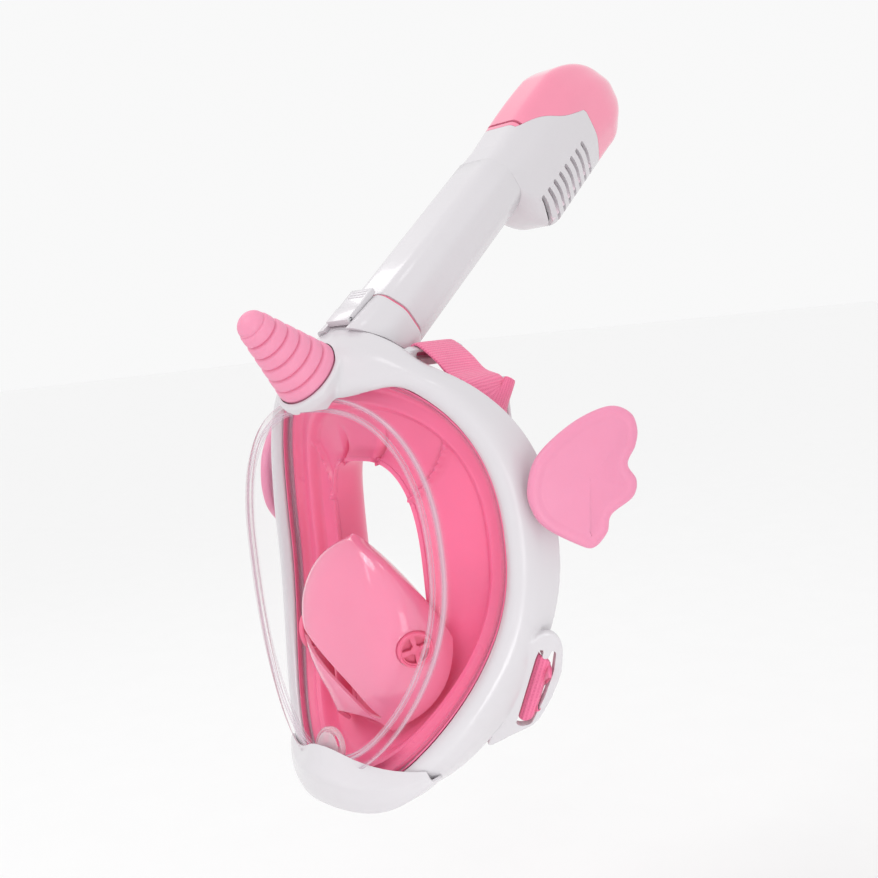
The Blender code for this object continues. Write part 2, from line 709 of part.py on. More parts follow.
def ears():
    """Two wing-shaped ears on studs, standing clear of the frame."""
    line = smooth_line(EAR_OUTLINE, 30, closed=True)
    middle = line.mean(axis=0)
    for side, word in ((-1, "left"), (1, "right")):
        corner = Vector(mirrored(EAR_CORNER, side))
        along = Vector(mirrored(EAR_AXIS, side))
        normal = Vector((EAR_AXIS[1] * side, -EAR_AXIS[0], 0))
        rows = []
        for shrink, lift in EAR_CROWN:
            row = []
            for a, b in middle + (line - middle) * shrink:
                row.append(corner + along * a + Vector((0, 0, b)) + normal * lift * EAR_THICKNESS)
            rows.append(row)
        build("ear_" + word, *loft_solid(rows), material("ear_silicone", PINK, 0.4), corner)
        stand = EAR_THICKNESS / 2 + GAP
        foot = corner + along * EAR_STUD_AT[0] + Vector((0, 0, EAR_STUD_AT[1])) - normal * stand
        disc("ear_stud_" + word, 4.0, -STUD_LENGTH, 0, foot, normal, white_plastic(), 20)


STUD_LENGTH = 3.6


# ---------------------------------------------------------------- snorkel

SOCKET_FRONT = TUBE_HALF_DEPTH + 2.2


def socket():
    """The sleeve on the brow that the snorkel plugs into, cut off level with the brow."""
    rows = []
    for s, grow in ((-44, 3.2), (-26, 2.7), (-14, 2.0), (SEAM - 2.0, 1.4)):
        rows.append(oval(s, TUBE_HALF_WIDTH + grow, TUBE_HALF_DEPTH + grow, -TUBE_HALF_DEPTH - grow))
    made = build("snorkel_socket", *loft_solid(rows), white_plastic())
    rows = [oval(s, 14.6, 12.1, -12.1) for s in (-60, 5)]
    bore = build("socket_bore", *loft_solid(rows), white_plastic())
    bay = block("latch_bay", F(-19, 0, SOCKET_FRONT + 2.0), (SIDEWAYS, TUBE_AXIS, TUBE_FRONT),
                (14.8, 50, 6.8), white_plastic())
    level = Vector(LANDING_REAR) - Vector(LANDING_FRONT)
    down = SIDEWAYS_V.cross(level).normalized()
    if down.z > 0:
        down = -down
    middle = (Vector(LANDING_REAR) + Vector(LANDING_FRONT)) / 2 + down * (20 - GAP)
    floor = block("brow_room", middle, (SIDEWAYS, level, down), (80, 120, 40), white_plastic())
    return combine(made, "DIFFERENCE", [bore, bay, floor])


LANDING_FRONT = (0.0, 18.0, 98.9)
LANDING_REAR = (0.0, 52.0, 81.0)
SIDEWAYS_V = Vector((1, 0, 0))
LATCH_PIN = F(-27.5, 0, SOCKET_FRONT + 1.2)


def latch():
    """The front latch, which turns on a pin at its foot, and the pin."""
    plate = block("snorkel_latch", F(-18.5, 0, SOCKET_FRONT + 1.2), (SIDEWAYS, TUBE_AXIS, TUBE_FRONT),
                  (14, 22, 2.9), white_plastic(), LATCH_PIN)
    bevelled(plate, 0.9)
    hole = disc("latch_pin_hole", 1.0, -15, 15, LATCH_PIN, SIDEWAYS, white_plastic(), 12)
    combine(plate, "DIFFERENCE", [hole])
    disc("latch_pin", 0.65, -6.8, 6.8, LATCH_PIN, SIDEWAYS, material("steel", STEEL, 0.25, 1.0), 12)


def snorkel_tube():
    """The oval tube with its spigot, open right through."""
    spigot = SEAM - SPIGOT_LENGTH
    outside = ((spigot, -3.7), (SEAM, -3.7), (SEAM + 0.3, 0.0), (50, 0.0), (TUBE_TOP, 0.0))
    inside = ((spigot, -5.6), (SEAM, -5.6), (SEAM + 4.0, -TUBE_WALL), (50, -TUBE_WALL),
              (TUBE_TOP, -TUBE_WALL))
    rows = []
    for s, grow in outside:
        rows.append(oval(s, TUBE_HALF_WIDTH + grow, TUBE_HALF_DEPTH + grow, -TUBE_HALF_DEPTH - grow))
    walls = []
    for s, grow in inside:
        walls.append(oval(s, TUBE_HALF_WIDTH + grow, TUBE_HALF_DEPTH + grow, -TUBE_HALF_DEPTH - grow))
    return build("snorkel_tube", *shell_solid(rows, walls), white_plastic())


def tube_fittings():
    rows, walls = [], []
    for s in (SEAM - 1.7, SEAM - 0.3):
        rows.append(oval(s, TUBE_HALF_WIDTH + 0.3, TUBE_HALF_DEPTH + 0.3, -TUBE_HALF_DEPTH - 0.3))
        walls.append(oval(s, TUBE_HALF_WIDTH - 3.3, TUBE_HALF_DEPTH - 3.3, -TUBE_HALF_DEPTH + 3.3))
    build("socket_gasket", *shell_solid(rows, walls), pink_silicone())
    block("air_divider", F(52, 0, -3.0), TUBE_AXES, (28.4, 86, 1.4), white_plastic())


def vent_housing():
    """The float housing with its vent slots, rear of the tube's top."""
    start, seam = (lambda q: TUBE_TOP + GAP), (lambda q: cap_seam(q) - GAP / 2)
    outer, inner = head_grid(start, seam, 8), head_grid(start, seam, 8, TUBE_WALL)
    made = build("vent_housing", *shell_solid(outer, inner), white_plastic())
    up, front = Vector(TUBE_AXIS), Vector(TUBE_FRONT)
    axes = (SIDEWAYS, up + front * VENT_LEAN, front - up * VENT_LEAN)
    slots = []
    for k in range(VENT_SLOTS):
        for side, word in ((-1, "l"), (1, "r")):
            middle = F(VENT_FIRST + k * VENT_PITCH - 2.0, 20 * side, -29)
            slots.append(block("vent_%d_%s" % (k, word), middle, axes, VENT_CUTTER, white_plastic()))
    return combine(made, "DIFFERENCE", slots)


def top_cap():
    """The cap over the head, closed at its end."""
    seam, end = (lambda q: cap_seam(q) + GAP / 2), (lambda q: HEAD_END - 0.4)
    outer = head_grid(seam, end, 8)[::-1]
    inner = head_grid(seam, lambda q: HEAD_END - 2.6, 8, TUBE_WALL)[::-1]
    return build("top_cap", *shell_solid(outer, inner, pole=True), material("cap_plastic", PINK, 0.15))


FLOAT_CENTRE_N = -25.0


def float_valve():
    """The dry-top valve: a float that rises along the tube onto its seat."""
    pink = pink_plastic()
    seat = block("float_seat", F(167.5, 0, -24), (SIDEWAYS, TUBE_AXIS, TUBE_FRONT), (22, 2.4, 20), pink)
    hole = disc("seat_hole", 6.5, -5, 5, F(167.5, 0, FLOAT_CENTRE_N), TUBE_AXIS, pink, 20)
    combine(seat, "DIFFERENCE", [hole])
    shelf = block("float_shelf", F(119, 0, -23), TUBE_AXES, (22, 2.2, 20), white_plastic())
    hole = disc("shelf_hole", 5.0, -5, 5, F(119, 0, FLOAT_CENTRE_N), TUBE_AXIS, pink, 20)
    combine(shelf, "DIFFERENCE", [hole])
    profile = [(0, -14), (9.0, -14), (10.0, -13), (10.0, 10), (8.6, 12.5), (7.8, 15.5), (6.0, 17.0),
               (0, 17.5)]
    turned("float_body", profile, F(134.8, 0, FLOAT_CENTRE_N), TUBE_AXIS, white_plastic())


# ---------------------------------------------------------------- straps

def strap(name, route, width, count, first_across, last_across, twist):
    """A flat band along a route that is mirrored at X = 0. Its width turns from one direction to the other."""
    half_line = smooth_line(route, count)
    rows = []
    for k, here in enumerate(half_line):
        t = k / (count - 1)
        turn = min(1.0, max(0.0, (t - twist[0]) / (twist[1] - twist[0])))
        turn = turn * turn * (3 - 2 * turn)
        across = Vector(first_across).lerp(Vector(last_across), turn)
        ahead = Vector(half_line[min(k + 1, count - 1)]) - Vector(half_line[max(k - 1, 0)])
        if k == count - 1:
            ahead = Vector((-1, 0, 0))
        across = (across - ahead.normalized() * across.dot(ahead.normalized())).normalized()
        normal = across.cross(ahead).normalized()
        centre = Vector(here)
        rows.append([centre + across * a * width / 2 + normal * b * STRAP_THICKNESS / 2
                     for a, b in ((-1, -1), (1, -1), (1, 1), (-1, 1))])
    other = [[Vector((-p.x, p.y, p.z)) for p in row] for row in rows[:-1]]
    rows = rows + other[::-1]
    return build(name, *loft_solid(rows), material("webbing", PINK, 0.8))


def slider(name, centre, direction, across, width):
    """A small loop that the webbing runs through."""
    direction = Vector(direction).normalized()
    across = Vector(across)
    across = (across - direction * across.dot(direction)).normalized()
    axes = (across, direction.cross(across), direction)
    loop = bevelled(block(name, centre, axes, (width + 6, 6.4, 8), white_plastic()), 1.0)
    hole = block(name + "_hole", centre, axes, (width + 1.0, STRAP_THICKNESS + 1.0, 20), white_plastic())
    return combine(loop, "DIFFERENCE", [hole])


def sliders():
    """Four adjusters on the straight stretches of the straps."""
    for side, word in ((-1, "left"), (1, "right")):
        for level, route, across, width in (("upper", UPPER_STRAP[5:7], (0, 0, 1), UPPER_STRAP_WIDTH),
                                            ("lower", LOWER_STRAP[2:4], (0, 0, 1), LOWER_STRAP_WIDTH)):
            low, high = (Vector(mirrored(p, side)) for p in route)
            slider("slider_%s_%s" % (level, word), (low + high) / 2, high - low, across, width)


def straps():
    strap("upper_strap", UPPER_STRAP, UPPER_STRAP_WIDTH, 32, (0, 1, 0), (0, 0, 1), (0.12, 0.5))
    strap("lower_strap", LOWER_STRAP, LOWER_STRAP_WIDTH, 24, LOWER_LUG_ALONG, (0, 0, -1), (0.0, 0.2))


# ---------------------------------------------------------------- assembly

def main():
    for obj in list(bpy.data.objects):
        bpy.data.objects.remove(obj)
    front_frame()
    lens()
    face_skirt()
    nose_pocket()
    valves()
    chin_cover()
    horn()
    ears()
    socket()
    latch()
    snorkel_tube()
    tube_fittings()
    vent_housing()
    top_cap()
    float_valve()
    straps()
    sliders()


main()
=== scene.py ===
"""A child's full face snorkel mask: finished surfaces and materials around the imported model.

Shapes are in millimetres and become metres through MM. The curves repeat the ones that the solids were made from.
"""

import math

import bmesh
import bpy
import numpy as np
from mathutils import Matrix, Vector
from mathutils.kdtree import KDTree


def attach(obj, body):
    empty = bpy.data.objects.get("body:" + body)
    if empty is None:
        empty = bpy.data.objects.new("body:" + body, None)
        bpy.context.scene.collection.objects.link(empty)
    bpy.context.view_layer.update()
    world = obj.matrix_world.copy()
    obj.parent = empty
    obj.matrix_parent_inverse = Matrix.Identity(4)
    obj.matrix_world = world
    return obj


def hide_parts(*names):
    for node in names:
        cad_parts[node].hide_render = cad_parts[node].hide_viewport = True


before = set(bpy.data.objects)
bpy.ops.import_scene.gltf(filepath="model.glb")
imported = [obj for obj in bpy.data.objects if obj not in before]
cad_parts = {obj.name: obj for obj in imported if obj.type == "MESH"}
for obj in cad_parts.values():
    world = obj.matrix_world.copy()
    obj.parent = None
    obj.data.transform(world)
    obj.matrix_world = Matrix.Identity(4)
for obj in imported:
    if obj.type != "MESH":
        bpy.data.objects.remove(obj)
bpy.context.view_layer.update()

MM = 0.001
GAP = 0.4
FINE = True

# ---------------------------------------------------------------- shared sizes

RING_HALF_WIDTH, RING_TOP, RING_BOTTOM = 70.7, 78.3, 103.2
RING_POWER, RING_PINCH = 2.40, 0.29
RING_SWEEP, RING_TOP_SWEEP, RING_CHIN_SWEEP, SWEEP_REACH = 32.4, 8.9, -8.2, 82.8
BROW_THINNING, CHIN_THINNING = 0.42, 0.74
RING_SECTION = ((0, 0), (4.5, -2.6), (9.5, -1.0), (12.2, 4), (13, 12), (13, 21), (10.6, 21), (10, 11),
                (7, 6.5), (2, 5))
RING_RADII = (1.0, 2.6, 3.2, 3.4, 4.0, 0.9, 0.8, 1.6, 1.6, 1.0)
BROW_RADII = (1.8, 4.0, 8.0, 8.0, 2.5, 1.5, 1.5, 2.0, 2.0, 1.5)
BROW_REACH, BROW_BLEND = 46.0, 18.0

PANEL_HALF_WIDTH = 63.6
PANEL_SCALE = PANEL_HALF_WIDTH / RING_HALF_WIDTH
PANEL_FRONT, PANEL_SIDE_SWEEP, PANEL_TOP_SWEEP, PANEL_CHIN_SWEEP = -7.0, 8.0, 5.0, -13.0
LENS_THICKNESS = 2.0

OPENING_CENTRE_Z, OPENING_HALF_WIDTH, OPENING_TOP, OPENING_BOTTOM = -20.0, 27.0, 59.0, 58.0
OPENING_POWER = 3.4
CREST_SIDE_Y, CREST_TOP_Y, CREST_CHIN_Y = 27.0, 20.0, 14.0
SKIRT_THICKNESS = 1.8

TUBE_BASE = (0.0, 52.7, 103.7)
TUBE_TILT = math.radians(52.4)
TUBE_HALF_WIDTH, TUBE_HALF_DEPTH, TUBE_WALL, TUBE_TOP = 18.0, 15.6, 2.0, 98.0
HEAD_REAR, HEAD_END = -42.5, 219.0
SEAM, SPIGOT_LENGTH = -6.6, 19.0
VENT_SLOTS, VENT_PITCH, VENT_FIRST = 8, 6.93, 114.5
SOCKET_FRONT = TUBE_HALF_DEPTH + 2.2

HORN_BASE, HORN_TILT = (0.0, -2.6, 80.1), math.radians(40.9)
HORN_RADIUS, HORN_LENGTH, HORN_STEPS = 15.4, 40.5, 6

EAR_CORNER, EAR_AXIS, EAR_THICKNESS = (86.8, 33.4, 0.0), (0.555, 0.832, 0.0), 5.0
EAR_OUTLINE = ((0, 16), (-1.5, 26), (4, 39), (20, 50.5), (36, 55.5), (45, 52), (47.5, 45), (46, 38), (42, 31),
               (45.3, 24), (43, 17), (33, 11), (30.5, 4), (24, -1.5), (17, 1), (5, 9))
EAR_STUD_AT, STUD_LENGTH = (9.0, 27.0), 3.6

LOWER_LUG_ALONG, LOWER_LUG_OUT, LOWER_LUG_CENTRE = (-0.42, 0.0, -0.907), (0.62, 0.785, 0.0), (72.6, 42.6, -61.0)
UPPER_LUG_CENTRE, UPPER_LUG_UP = (27.0, 48.0, 83.9), (0.41, 0.0, 0.912)
STRAP_THICKNESS, UPPER_STRAP_WIDTH, LOWER_STRAP_WIDTH, LUG_EXTRA_WIDTH = 1.6, 24.0, 22.0, 11.5
UPPER_FOLD = ((-3.3, -7), (-3.2, -2), (-3.1, 1.0), (-2.4, 3.2), (-0.6, 4.3), (2.4, 4.2), (7.5, 3.2), (13.5, 1.5))
UPPER_BEND = ((46, 48, 74), (54, 49, 70), (57.8, 50.5, 63), (57.0, 58, 57.6), (50, 66, 56), (47, 69, 55.25),
              (44, 72, 54.5))
UPPER_STRAP = ((50, 66, 56), (38, 78, 53), (26, 87, 51), (13, 91.5, 50), (0, 93, 50))
LOWER_FOLD = ((-2.9, -7.5), (-2.9, -3.0), (-2.6, -1.0), (-1.4, 0.3), (0.2, 0.7), (1.7, 0.3), (2.7, -1.2), (2.9, -3.6))
LOWER_STRAP = ((61, 53, -65), (41, 71.5, -69), (29, 79, -70), (14, 84, -70), (0, 85.5, -70))

PURGE_RADIUS, PURGE_AXIS = 9.0, (0.0, -1.0, 0.22)
VALVE_RADIUS = 8.0
FLOAT_CENTRE_N = -25.0
CHIN_COVER_REACH = math.radians(40)

SIDEWAYS = (1.0, 0.0, 0.0)
TUBE_AXIS = (0.0, math.sin(TUBE_TILT), math.cos(TUBE_TILT))
TUBE_FRONT = (0.0, -math.cos(TUBE_TILT), math.sin(TUBE_TILT))
TUBE_AXES = (SIDEWAYS, TUBE_AXIS, TUBE_FRONT)
SIDES = ((-1, "left"), (1, "right"))
BORE_POWER, BORE_STEPS = 2.2, 96
GASKET_INSIDE = -3.3
RIB_PITCH, WARP_PITCH, YARN_PITCH = 1.5, 1.1, (0.5, 0.55)
RING_STEPS, LENS_STEPS, SKIRT_STEPS = 320, 256, 256
REMESH_STEP = 0.62 if FINE else 1.1
FILLET_PASSES = 9 if FINE else 4
STRAP_STEPS = 300 if FINE else 160


# ---------------------------------------------------------------- mesh helpers

def ease(t):
    t = min(1.0, max(0.0, t))
    return t * t * (3 - 2 * t)


def bent(t, power):
    """One coordinate of a superellipse, from the cosine or sine of the angle."""
    return math.copysign(abs(t) ** (2 / power), t)


def make(name, points, faces, finish=None, uv=None, sharp=40):
    """A mesh object with outward faces. uv gives each point's place on the cloth, in millimetres."""
    mesh = bpy.data.meshes.new(name)
    mesh.from_pydata((np.asarray(points, float) * MM).tolist(), [], [list(map(int, f)) for f in faces])
    bm = bmesh.new()
    bm.from_mesh(mesh)
    bmesh.ops.recalc_face_normals(bm, faces=bm.faces)
    bm.to_mesh(mesh)
    bm.free()
    if uv is not None:
        layer = mesh.uv_layers.new(name="cloth")
        index = np.zeros(len(mesh.loops), np.int32)
        mesh.loops.foreach_get("vertex_index", index)
        layer.data.foreach_set("uv", np.asarray(uv, np.float32)[index].ravel())
    if finish:
        mesh.materials.append(finish)
    soften(mesh, sharp)
    obj = bpy.data.objects.new(name, mesh)
    bpy.context.scene.collection.objects.link(obj)
    return obj


def soften(mesh, sharp):
    mesh.shade_smooth()
    mesh.set_sharp_from_angle(angle=math.radians(sharp))


def baked(obj, sharp=40):
    """Applies the modifiers."""
    bpy.context.view_layer.update()
    graph = bpy.context.evaluated_depsgraph_get()
    mesh = bpy.data.meshes.new_from_object(obj.evaluated_get(graph))
    obj.modifiers.clear()
    obj.data = mesh
    soften(mesh, sharp)
    return obj


def boolean(obj, operation, tools, sharp=40, folded=False):
    """folded is for a thin wall whose own offset may fold over itself."""
    for tool in tools:
        step = obj.modifiers.new(tool.name, "BOOLEAN")
        step.operation = operation
        step.solver = "EXACT"
        step.use_self = folded
        step.object = tool
    baked(obj, sharp)
    for tool in tools:
        bpy.data.objects.remove(tool)
    return obj


def bevelled(obj, width, segments=3, sharp=40):
    step = obj.modifiers.new("Bevel", "BEVEL")
    step.width = width * MM
    step.segments = segments
    step.limit_method = "ANGLE"
    return baked(obj, sharp)


def settle(obj, body, nodes):
    """The piece rides on a body and stands in for CAD nodes, which it hides."""
    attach(obj, body)
    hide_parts(*nodes)
    return obj


def grid_faces(rows, columns, closed_rows=False, closed_columns=False, start=0):
    faces = []
    for i in range(rows if closed_rows else rows - 1):
        for j in range(columns if closed_columns else columns - 1):
            k, m = (i + 1) % rows, (j + 1) % columns
            faces.append([start + a * columns + b for a, b in ((i, j), (i, m), (k, m), (k, j))])
    return faces


def loop_solid(rows):
    rows = np.asarray(rows, float)
    return rows.reshape(-1, 3), grid_faces(len(rows), rows.shape[1], True, True)


def loft_solid(rows):
    rows = np.asarray(rows, float)
    count, around = rows.shape[:2]
    faces = grid_faces(count, around, closed_columns=True)
    faces.append(list(range(around)))
    faces.append(list(range((count - 1) * around, count * around)))
    return rows.reshape(-1, 3), faces


def shell_solid(outer, inner, closed=True, pole=False):
    """A thin wall between two grids. With a pole, the first row closes onto its own middle."""
    outer, inner = np.asarray(outer, float), np.asarray(inner, float)
    rows, columns = outer.shape[:2]
    half = rows * columns
    points = np.concatenate([outer.reshape(-1, 3), inner.reshape(-1, 3)])
    faces = grid_faces(rows, columns, closed_columns=closed)
    faces += grid_faces(rows, columns, closed_columns=closed, start=half)
    borders = [(rows - 1) * columns]
    if pole:
        points = np.concatenate([points, [outer[0].mean(axis=0)], [inner[0].mean(axis=0)]])
        for start, middle in ((0, 2 * half), (half, 2 * half + 1)):
            faces += [[start + j, start + (j + 1) % columns, middle] for j in range(columns)]
    else:
        borders.append(0)
    for first in borders:
        for j in range(columns if closed else columns - 1):
            a, b = first + j, first + (j + 1) % columns
            faces.append([a, b, b + half, a + half])
    if not closed:
        for j in (0, columns - 1):
            for i in range(rows - 1):
                a, b = i * columns + j, (i + 1) * columns + j
                faces.append([a, b, b + half, a + half])
    return points, faces


def offset_grid(grid, distance, closed=True):
    grid = np.asarray(grid, float)
    down = np.gradient(grid, axis=0)
    if closed:
        across = (np.roll(grid, -1, axis=1) - np.roll(grid, 1, axis=1)) / 2
    else:
        across = np.gradient(grid, axis=1)
    normal = np.cross(across, down)
    normal /= np.linalg.norm(normal, axis=2, keepdims=True) + 1e-9
    return grid + normal * distance


def behind(grid, distance, closed=True):
    """The grid offset along its normals towards +Y, or towards -Y when the distance is negative."""
    moved = offset_grid(grid, distance, closed)
    if (moved[:, :, 1].mean() - np.asarray(grid)[:, :, 1].mean()) * distance < 0:
        moved = offset_grid(grid, -distance, closed)
    return moved


def catmull(points, count, closed=False):
    """Catmull-Rom through the points, at even steps of its own parameter."""
    points = np.asarray(points, float)
    if closed:
        padded = np.concatenate([points[-1:], points, points[:2]])
    else:
        padded = np.concatenate([[2 * points[0] - points[1]], points, [2 * points[-1] - points[-2]]])
    spans = len(padded) - 3
    out = []
    for w in np.linspace(0, spans, count, endpoint=not closed):
        k = min(int(w), spans - 1)
        t = w - k
        a, b, c, d = padded[k:k + 4]
        out.append(0.5 * (2 * b + (c - a) * t + (2 * a - 5 * b + 4 * c - d) * t**2 + (3 * b - a - 3 * c + d) * t**3))
    return np.array(out)


def even(line, count, closed=False):
    """The line resampled at even distances."""
    line = np.asarray(line, float)
    if closed:
        line = np.concatenate([line, line[:1]])
    length = np.concatenate([[0], np.cumsum(np.linalg.norm(np.diff(line, axis=0), axis=1))])
    wanted = np.linspace(0, length[-1], count + 1 if closed else count)
    out = np.stack([np.interp(wanted, length, line[:, k]) for k in range(line.shape[1])], axis=1)
    return out[:-1] if closed else out


def rounded(corners, radii, arc=4, flat=2):
    """A closed outline whose corners are rounded by their radii, with points along its sides too."""
    corners = np.asarray(corners, float)
    count = len(corners)
    radii = np.broadcast_to(np.asarray(radii, float), count)
    starts, ends = [], []
    for i in range(count):
        back, ahead = corners[i - 1] - corners[i], corners[(i + 1) % count] - corners[i]
        a, b = np.linalg.norm(back), np.linalg.norm(ahead)
        starts.append(corners[i] + back / a * min(radii[i], 0.45 * a))
        ends.append(corners[i] + ahead / b * min(radii[i], 0.45 * b))
    out = []
    for i in range(count):
        for t in np.linspace(0, 1, arc):
            out.append((1 - t) ** 2 * starts[i] + 2 * t * (1 - t) * corners[i] + t**2 * ends[i])
        for t in np.linspace(0, 1, flat + 2)[1:-1]:
            out.append(ends[i] + (starts[(i + 1) % count] - ends[i]) * t)
    return np.array(out)


def frame_of(axis):
    w = Vector(axis).normalized()
    u = Vector((1, 0, 0)) if abs(w.x) < 0.9 else Vector((0, 1, 0))
    u = (u - w * u.dot(w)).normalized()
    return u, w.cross(u), w


def turned(name, profile, centre, axis, finish, steps=64, sharp=40):
    """A turned solid from (radius, height) pairs, whose first and last lie on the axis."""
    u, v, w = frame_of(axis)
    centre = Vector(centre)
    body = profile[1:-1]
    points = []
    for r, h in body:
        for k in range(steps):
            a = 2 * math.pi * k / steps
            points.append(centre + (u * math.cos(a) + v * math.sin(a)) * r + w * h)
    faces = grid_faces(len(body), steps, closed_columns=True)
    points += [centre + w * profile[0][1], centre + w * profile[-1][1]]
    last = (len(body) - 1) * steps
    for k in range(steps):
        faces.append([k, (k + 1) % steps, len(points) - 2])
        faces.append([last + k, last + (k + 1) % steps, len(points) - 1])
    return make(name, points, faces, finish, sharp=sharp)


def disc(name, radius, low, high, centre, axis, finish=None, steps=48, edge=0.0):
    rim = [(radius, low), (radius, high)]
    if edge:
        rim = [(radius - edge, low), (radius, low + edge), (radius, high - edge), (radius - edge, high)]
    profile = [(0, low), *rim, (0, high)]
    return turned(name, profile, centre, axis, finish, steps)


def block(name, centre, axes, sizes, finish=None):
    centre = Vector(centre)
    sides = [Vector(a).normalized() * s / 2 for a, s in zip(axes, sizes)]
    points = [centre + sides[0] * i + sides[1] * j + sides[2] * k for i in (-1, 1) for j in (-1, 1) for k in (-1, 1)]
    faces = [(0, 1, 3, 2), (4, 6, 7, 5), (0, 4, 5, 1), (2, 3, 7, 6), (0, 2, 6, 4), (1, 5, 7, 3)]
    return make(name, points, faces, finish)


def plate(name, outline, centre, along, across, low, high, finish=None):
    """A flat outline in the plane of along and across, made solid between two heights."""
    along, across = Vector(along).normalized(), Vector(across).normalized()
    across = (across - along * across.dot(along)).normalized()
    up = along.cross(across)
    rows = [[Vector(centre) + along * a + across * b + up * h for a, b in outline] for h in (low, high)]
    return make(name, *loft_solid(rows), finish)


def mirrored(point, side):
    return point[0] * side, point[1], point[2]


# ---------------------------------------------------------------- shared curves

def egg(phi, grow=0.0, scale=1.0):
    c, s = math.cos(phi), math.sin(phi)
    half = RING_HALF_WIDTH * scale + grow
    tall = (RING_TOP if s > 0 else RING_BOTTOM) * scale + grow
    x = half * bent(c, RING_POWER)
    z = tall * bent(s, RING_POWER)
    if s < 0:
        x *= 1 - RING_PINCH * abs(s) ** 1.6
    return x, z


def sweep(x, z):
    up = RING_TOP_SWEEP if z > 0 else RING_CHIN_SWEEP
    return RING_SWEEP * (x / RING_HALF_WIDTH) ** 2 + up * (z / SWEEP_REACH) ** 2


def ring_point(phi, grow, back):
    x, z = egg(phi)
    wide_x, wide_z = egg(phi, grow)
    return wide_x, sweep(x, z) + back, wide_z


def panel_y(x, z):
    up = PANEL_TOP_SWEEP * (z / RING_TOP) ** 2 if z > 0 else PANEL_CHIN_SWEEP * (z / RING_BOTTOM) ** 2
    return PANEL_FRONT + PANEL_SIDE_SWEEP * (x / PANEL_HALF_WIDTH) ** 2 + up


def opening(phi, grow=0.0):
    c, s = math.cos(phi), math.sin(phi)
    tall = OPENING_TOP if s > 0 else OPENING_BOTTOM
    x = (OPENING_HALF_WIDTH + grow) * bent(c, OPENING_POWER)
    return x, OPENING_CENTRE_Z + (tall + grow) * bent(s, OPENING_POWER)


def crest_y(phi):
    c, s = math.cos(phi), math.sin(phi)
    return CREST_SIDE_Y * c * c + (CREST_TOP_Y if s > 0 else CREST_CHIN_Y) * s * s


def skirt_front(phi, out):
    x0, z0 = opening(phi)
    x1, y1, z1 = ring_point(phi, -9, 7)
    bulge = 3.0 * math.sin(math.pi * out)
    return x0 + (x1 - x0) * out, crest_y(phi) + (y1 - crest_y(phi)) * out + bulge, z0 + (z1 - z0) * out


def F(s, x=0.0, n=0.0):
    y = TUBE_BASE[1] + s * math.sin(TUBE_TILT) - n * math.cos(TUBE_TILT)
    z = TUBE_BASE[2] + s * math.cos(TUBE_TILT) + n * math.sin(TUBE_TILT)
    return x, y, z


def angles(count):
    return [2 * math.pi * k / count for k in range(count)]


def slimness(phi):
    rise = math.sin(phi)
    return 1 - BROW_THINNING * rise**2 if rise > 0 else 1 - CHIN_THINNING * rise**10


# ---------------------------------------------------------------- materials

def node_of(tree, kind, settings=(), links=(), **kinds):
    """A shader node with its kinds, its plain inputs and what is linked into it."""
    node = tree.nodes.new("ShaderNode" + kind)
    for key, value in kinds.items():
        setattr(node, key, value)
    for key, value in dict(settings).items():
        node.inputs[key].default_value = value
    for key, source in dict(links).items():
        tree.links.new(source, node.inputs[key])
    return node


def finish_of(name, colour, rough, vary=0.04, rough_vary=0.05, grain=1100.0, bump=0.05, coat=0.0, soft=0.0,
              sheen=0.0):
    """Moulded plastic or silicone: slight colour drift, uneven gloss and a fine moulded grain."""
    made = bpy.data.materials.new(name)
    made.use_nodes = True
    tree = made.node_tree
    shader = tree.nodes["Principled BSDF"]
    where = tree.nodes.new("ShaderNodeTexCoord").outputs["Object"]

    def noise(scale, detail):
        return node_of(tree, "TexNoise", {"Scale": scale, "Detail": detail}, {"Vector": where}).outputs["Fac"]

    def spread(source, low, high):
        limits = {"From Min": 0.3, "From Max": 0.7, "To Min": low, "To Max": high}
        return node_of(tree, "MapRange", limits, {"Value": source}).outputs["Result"]

    mix = node_of(tree, "Mix", data_type="RGBA")
    mix.inputs["A"].default_value = [c * (1 - vary) for c in colour] + [1]
    mix.inputs["B"].default_value = [min(1.0, c * (1 + vary)) for c in colour] + [1]
    tree.links.new(spread(noise(22.0, 3.0), 0, 1), mix.inputs["Factor"])
    tree.links.new(mix.outputs["Result"], shader.inputs["Base Color"])
    tree.links.new(spread(noise(60.0, 4.0), rough - rough_vary, rough + rough_vary), shader.inputs["Roughness"])
    raised = node_of(tree, "Bump", {"Strength": bump, "Distance": 0.0003}, {"Height": noise(grain, 2.0)})
    tree.links.new(raised.outputs["Normal"], shader.inputs["Normal"])
    shader.inputs["Coat Weight"].default_value = coat
    shader.inputs["Coat Roughness"].default_value = 0.06
    shader.inputs["Subsurface Weight"].default_value = soft
    shader.inputs["Subsurface Radius"].default_value = (1.0, 0.35, 0.4)
    shader.inputs["Subsurface Scale"].default_value = 0.004
    shader.inputs["Sheen Weight"].default_value = sheen
    return made


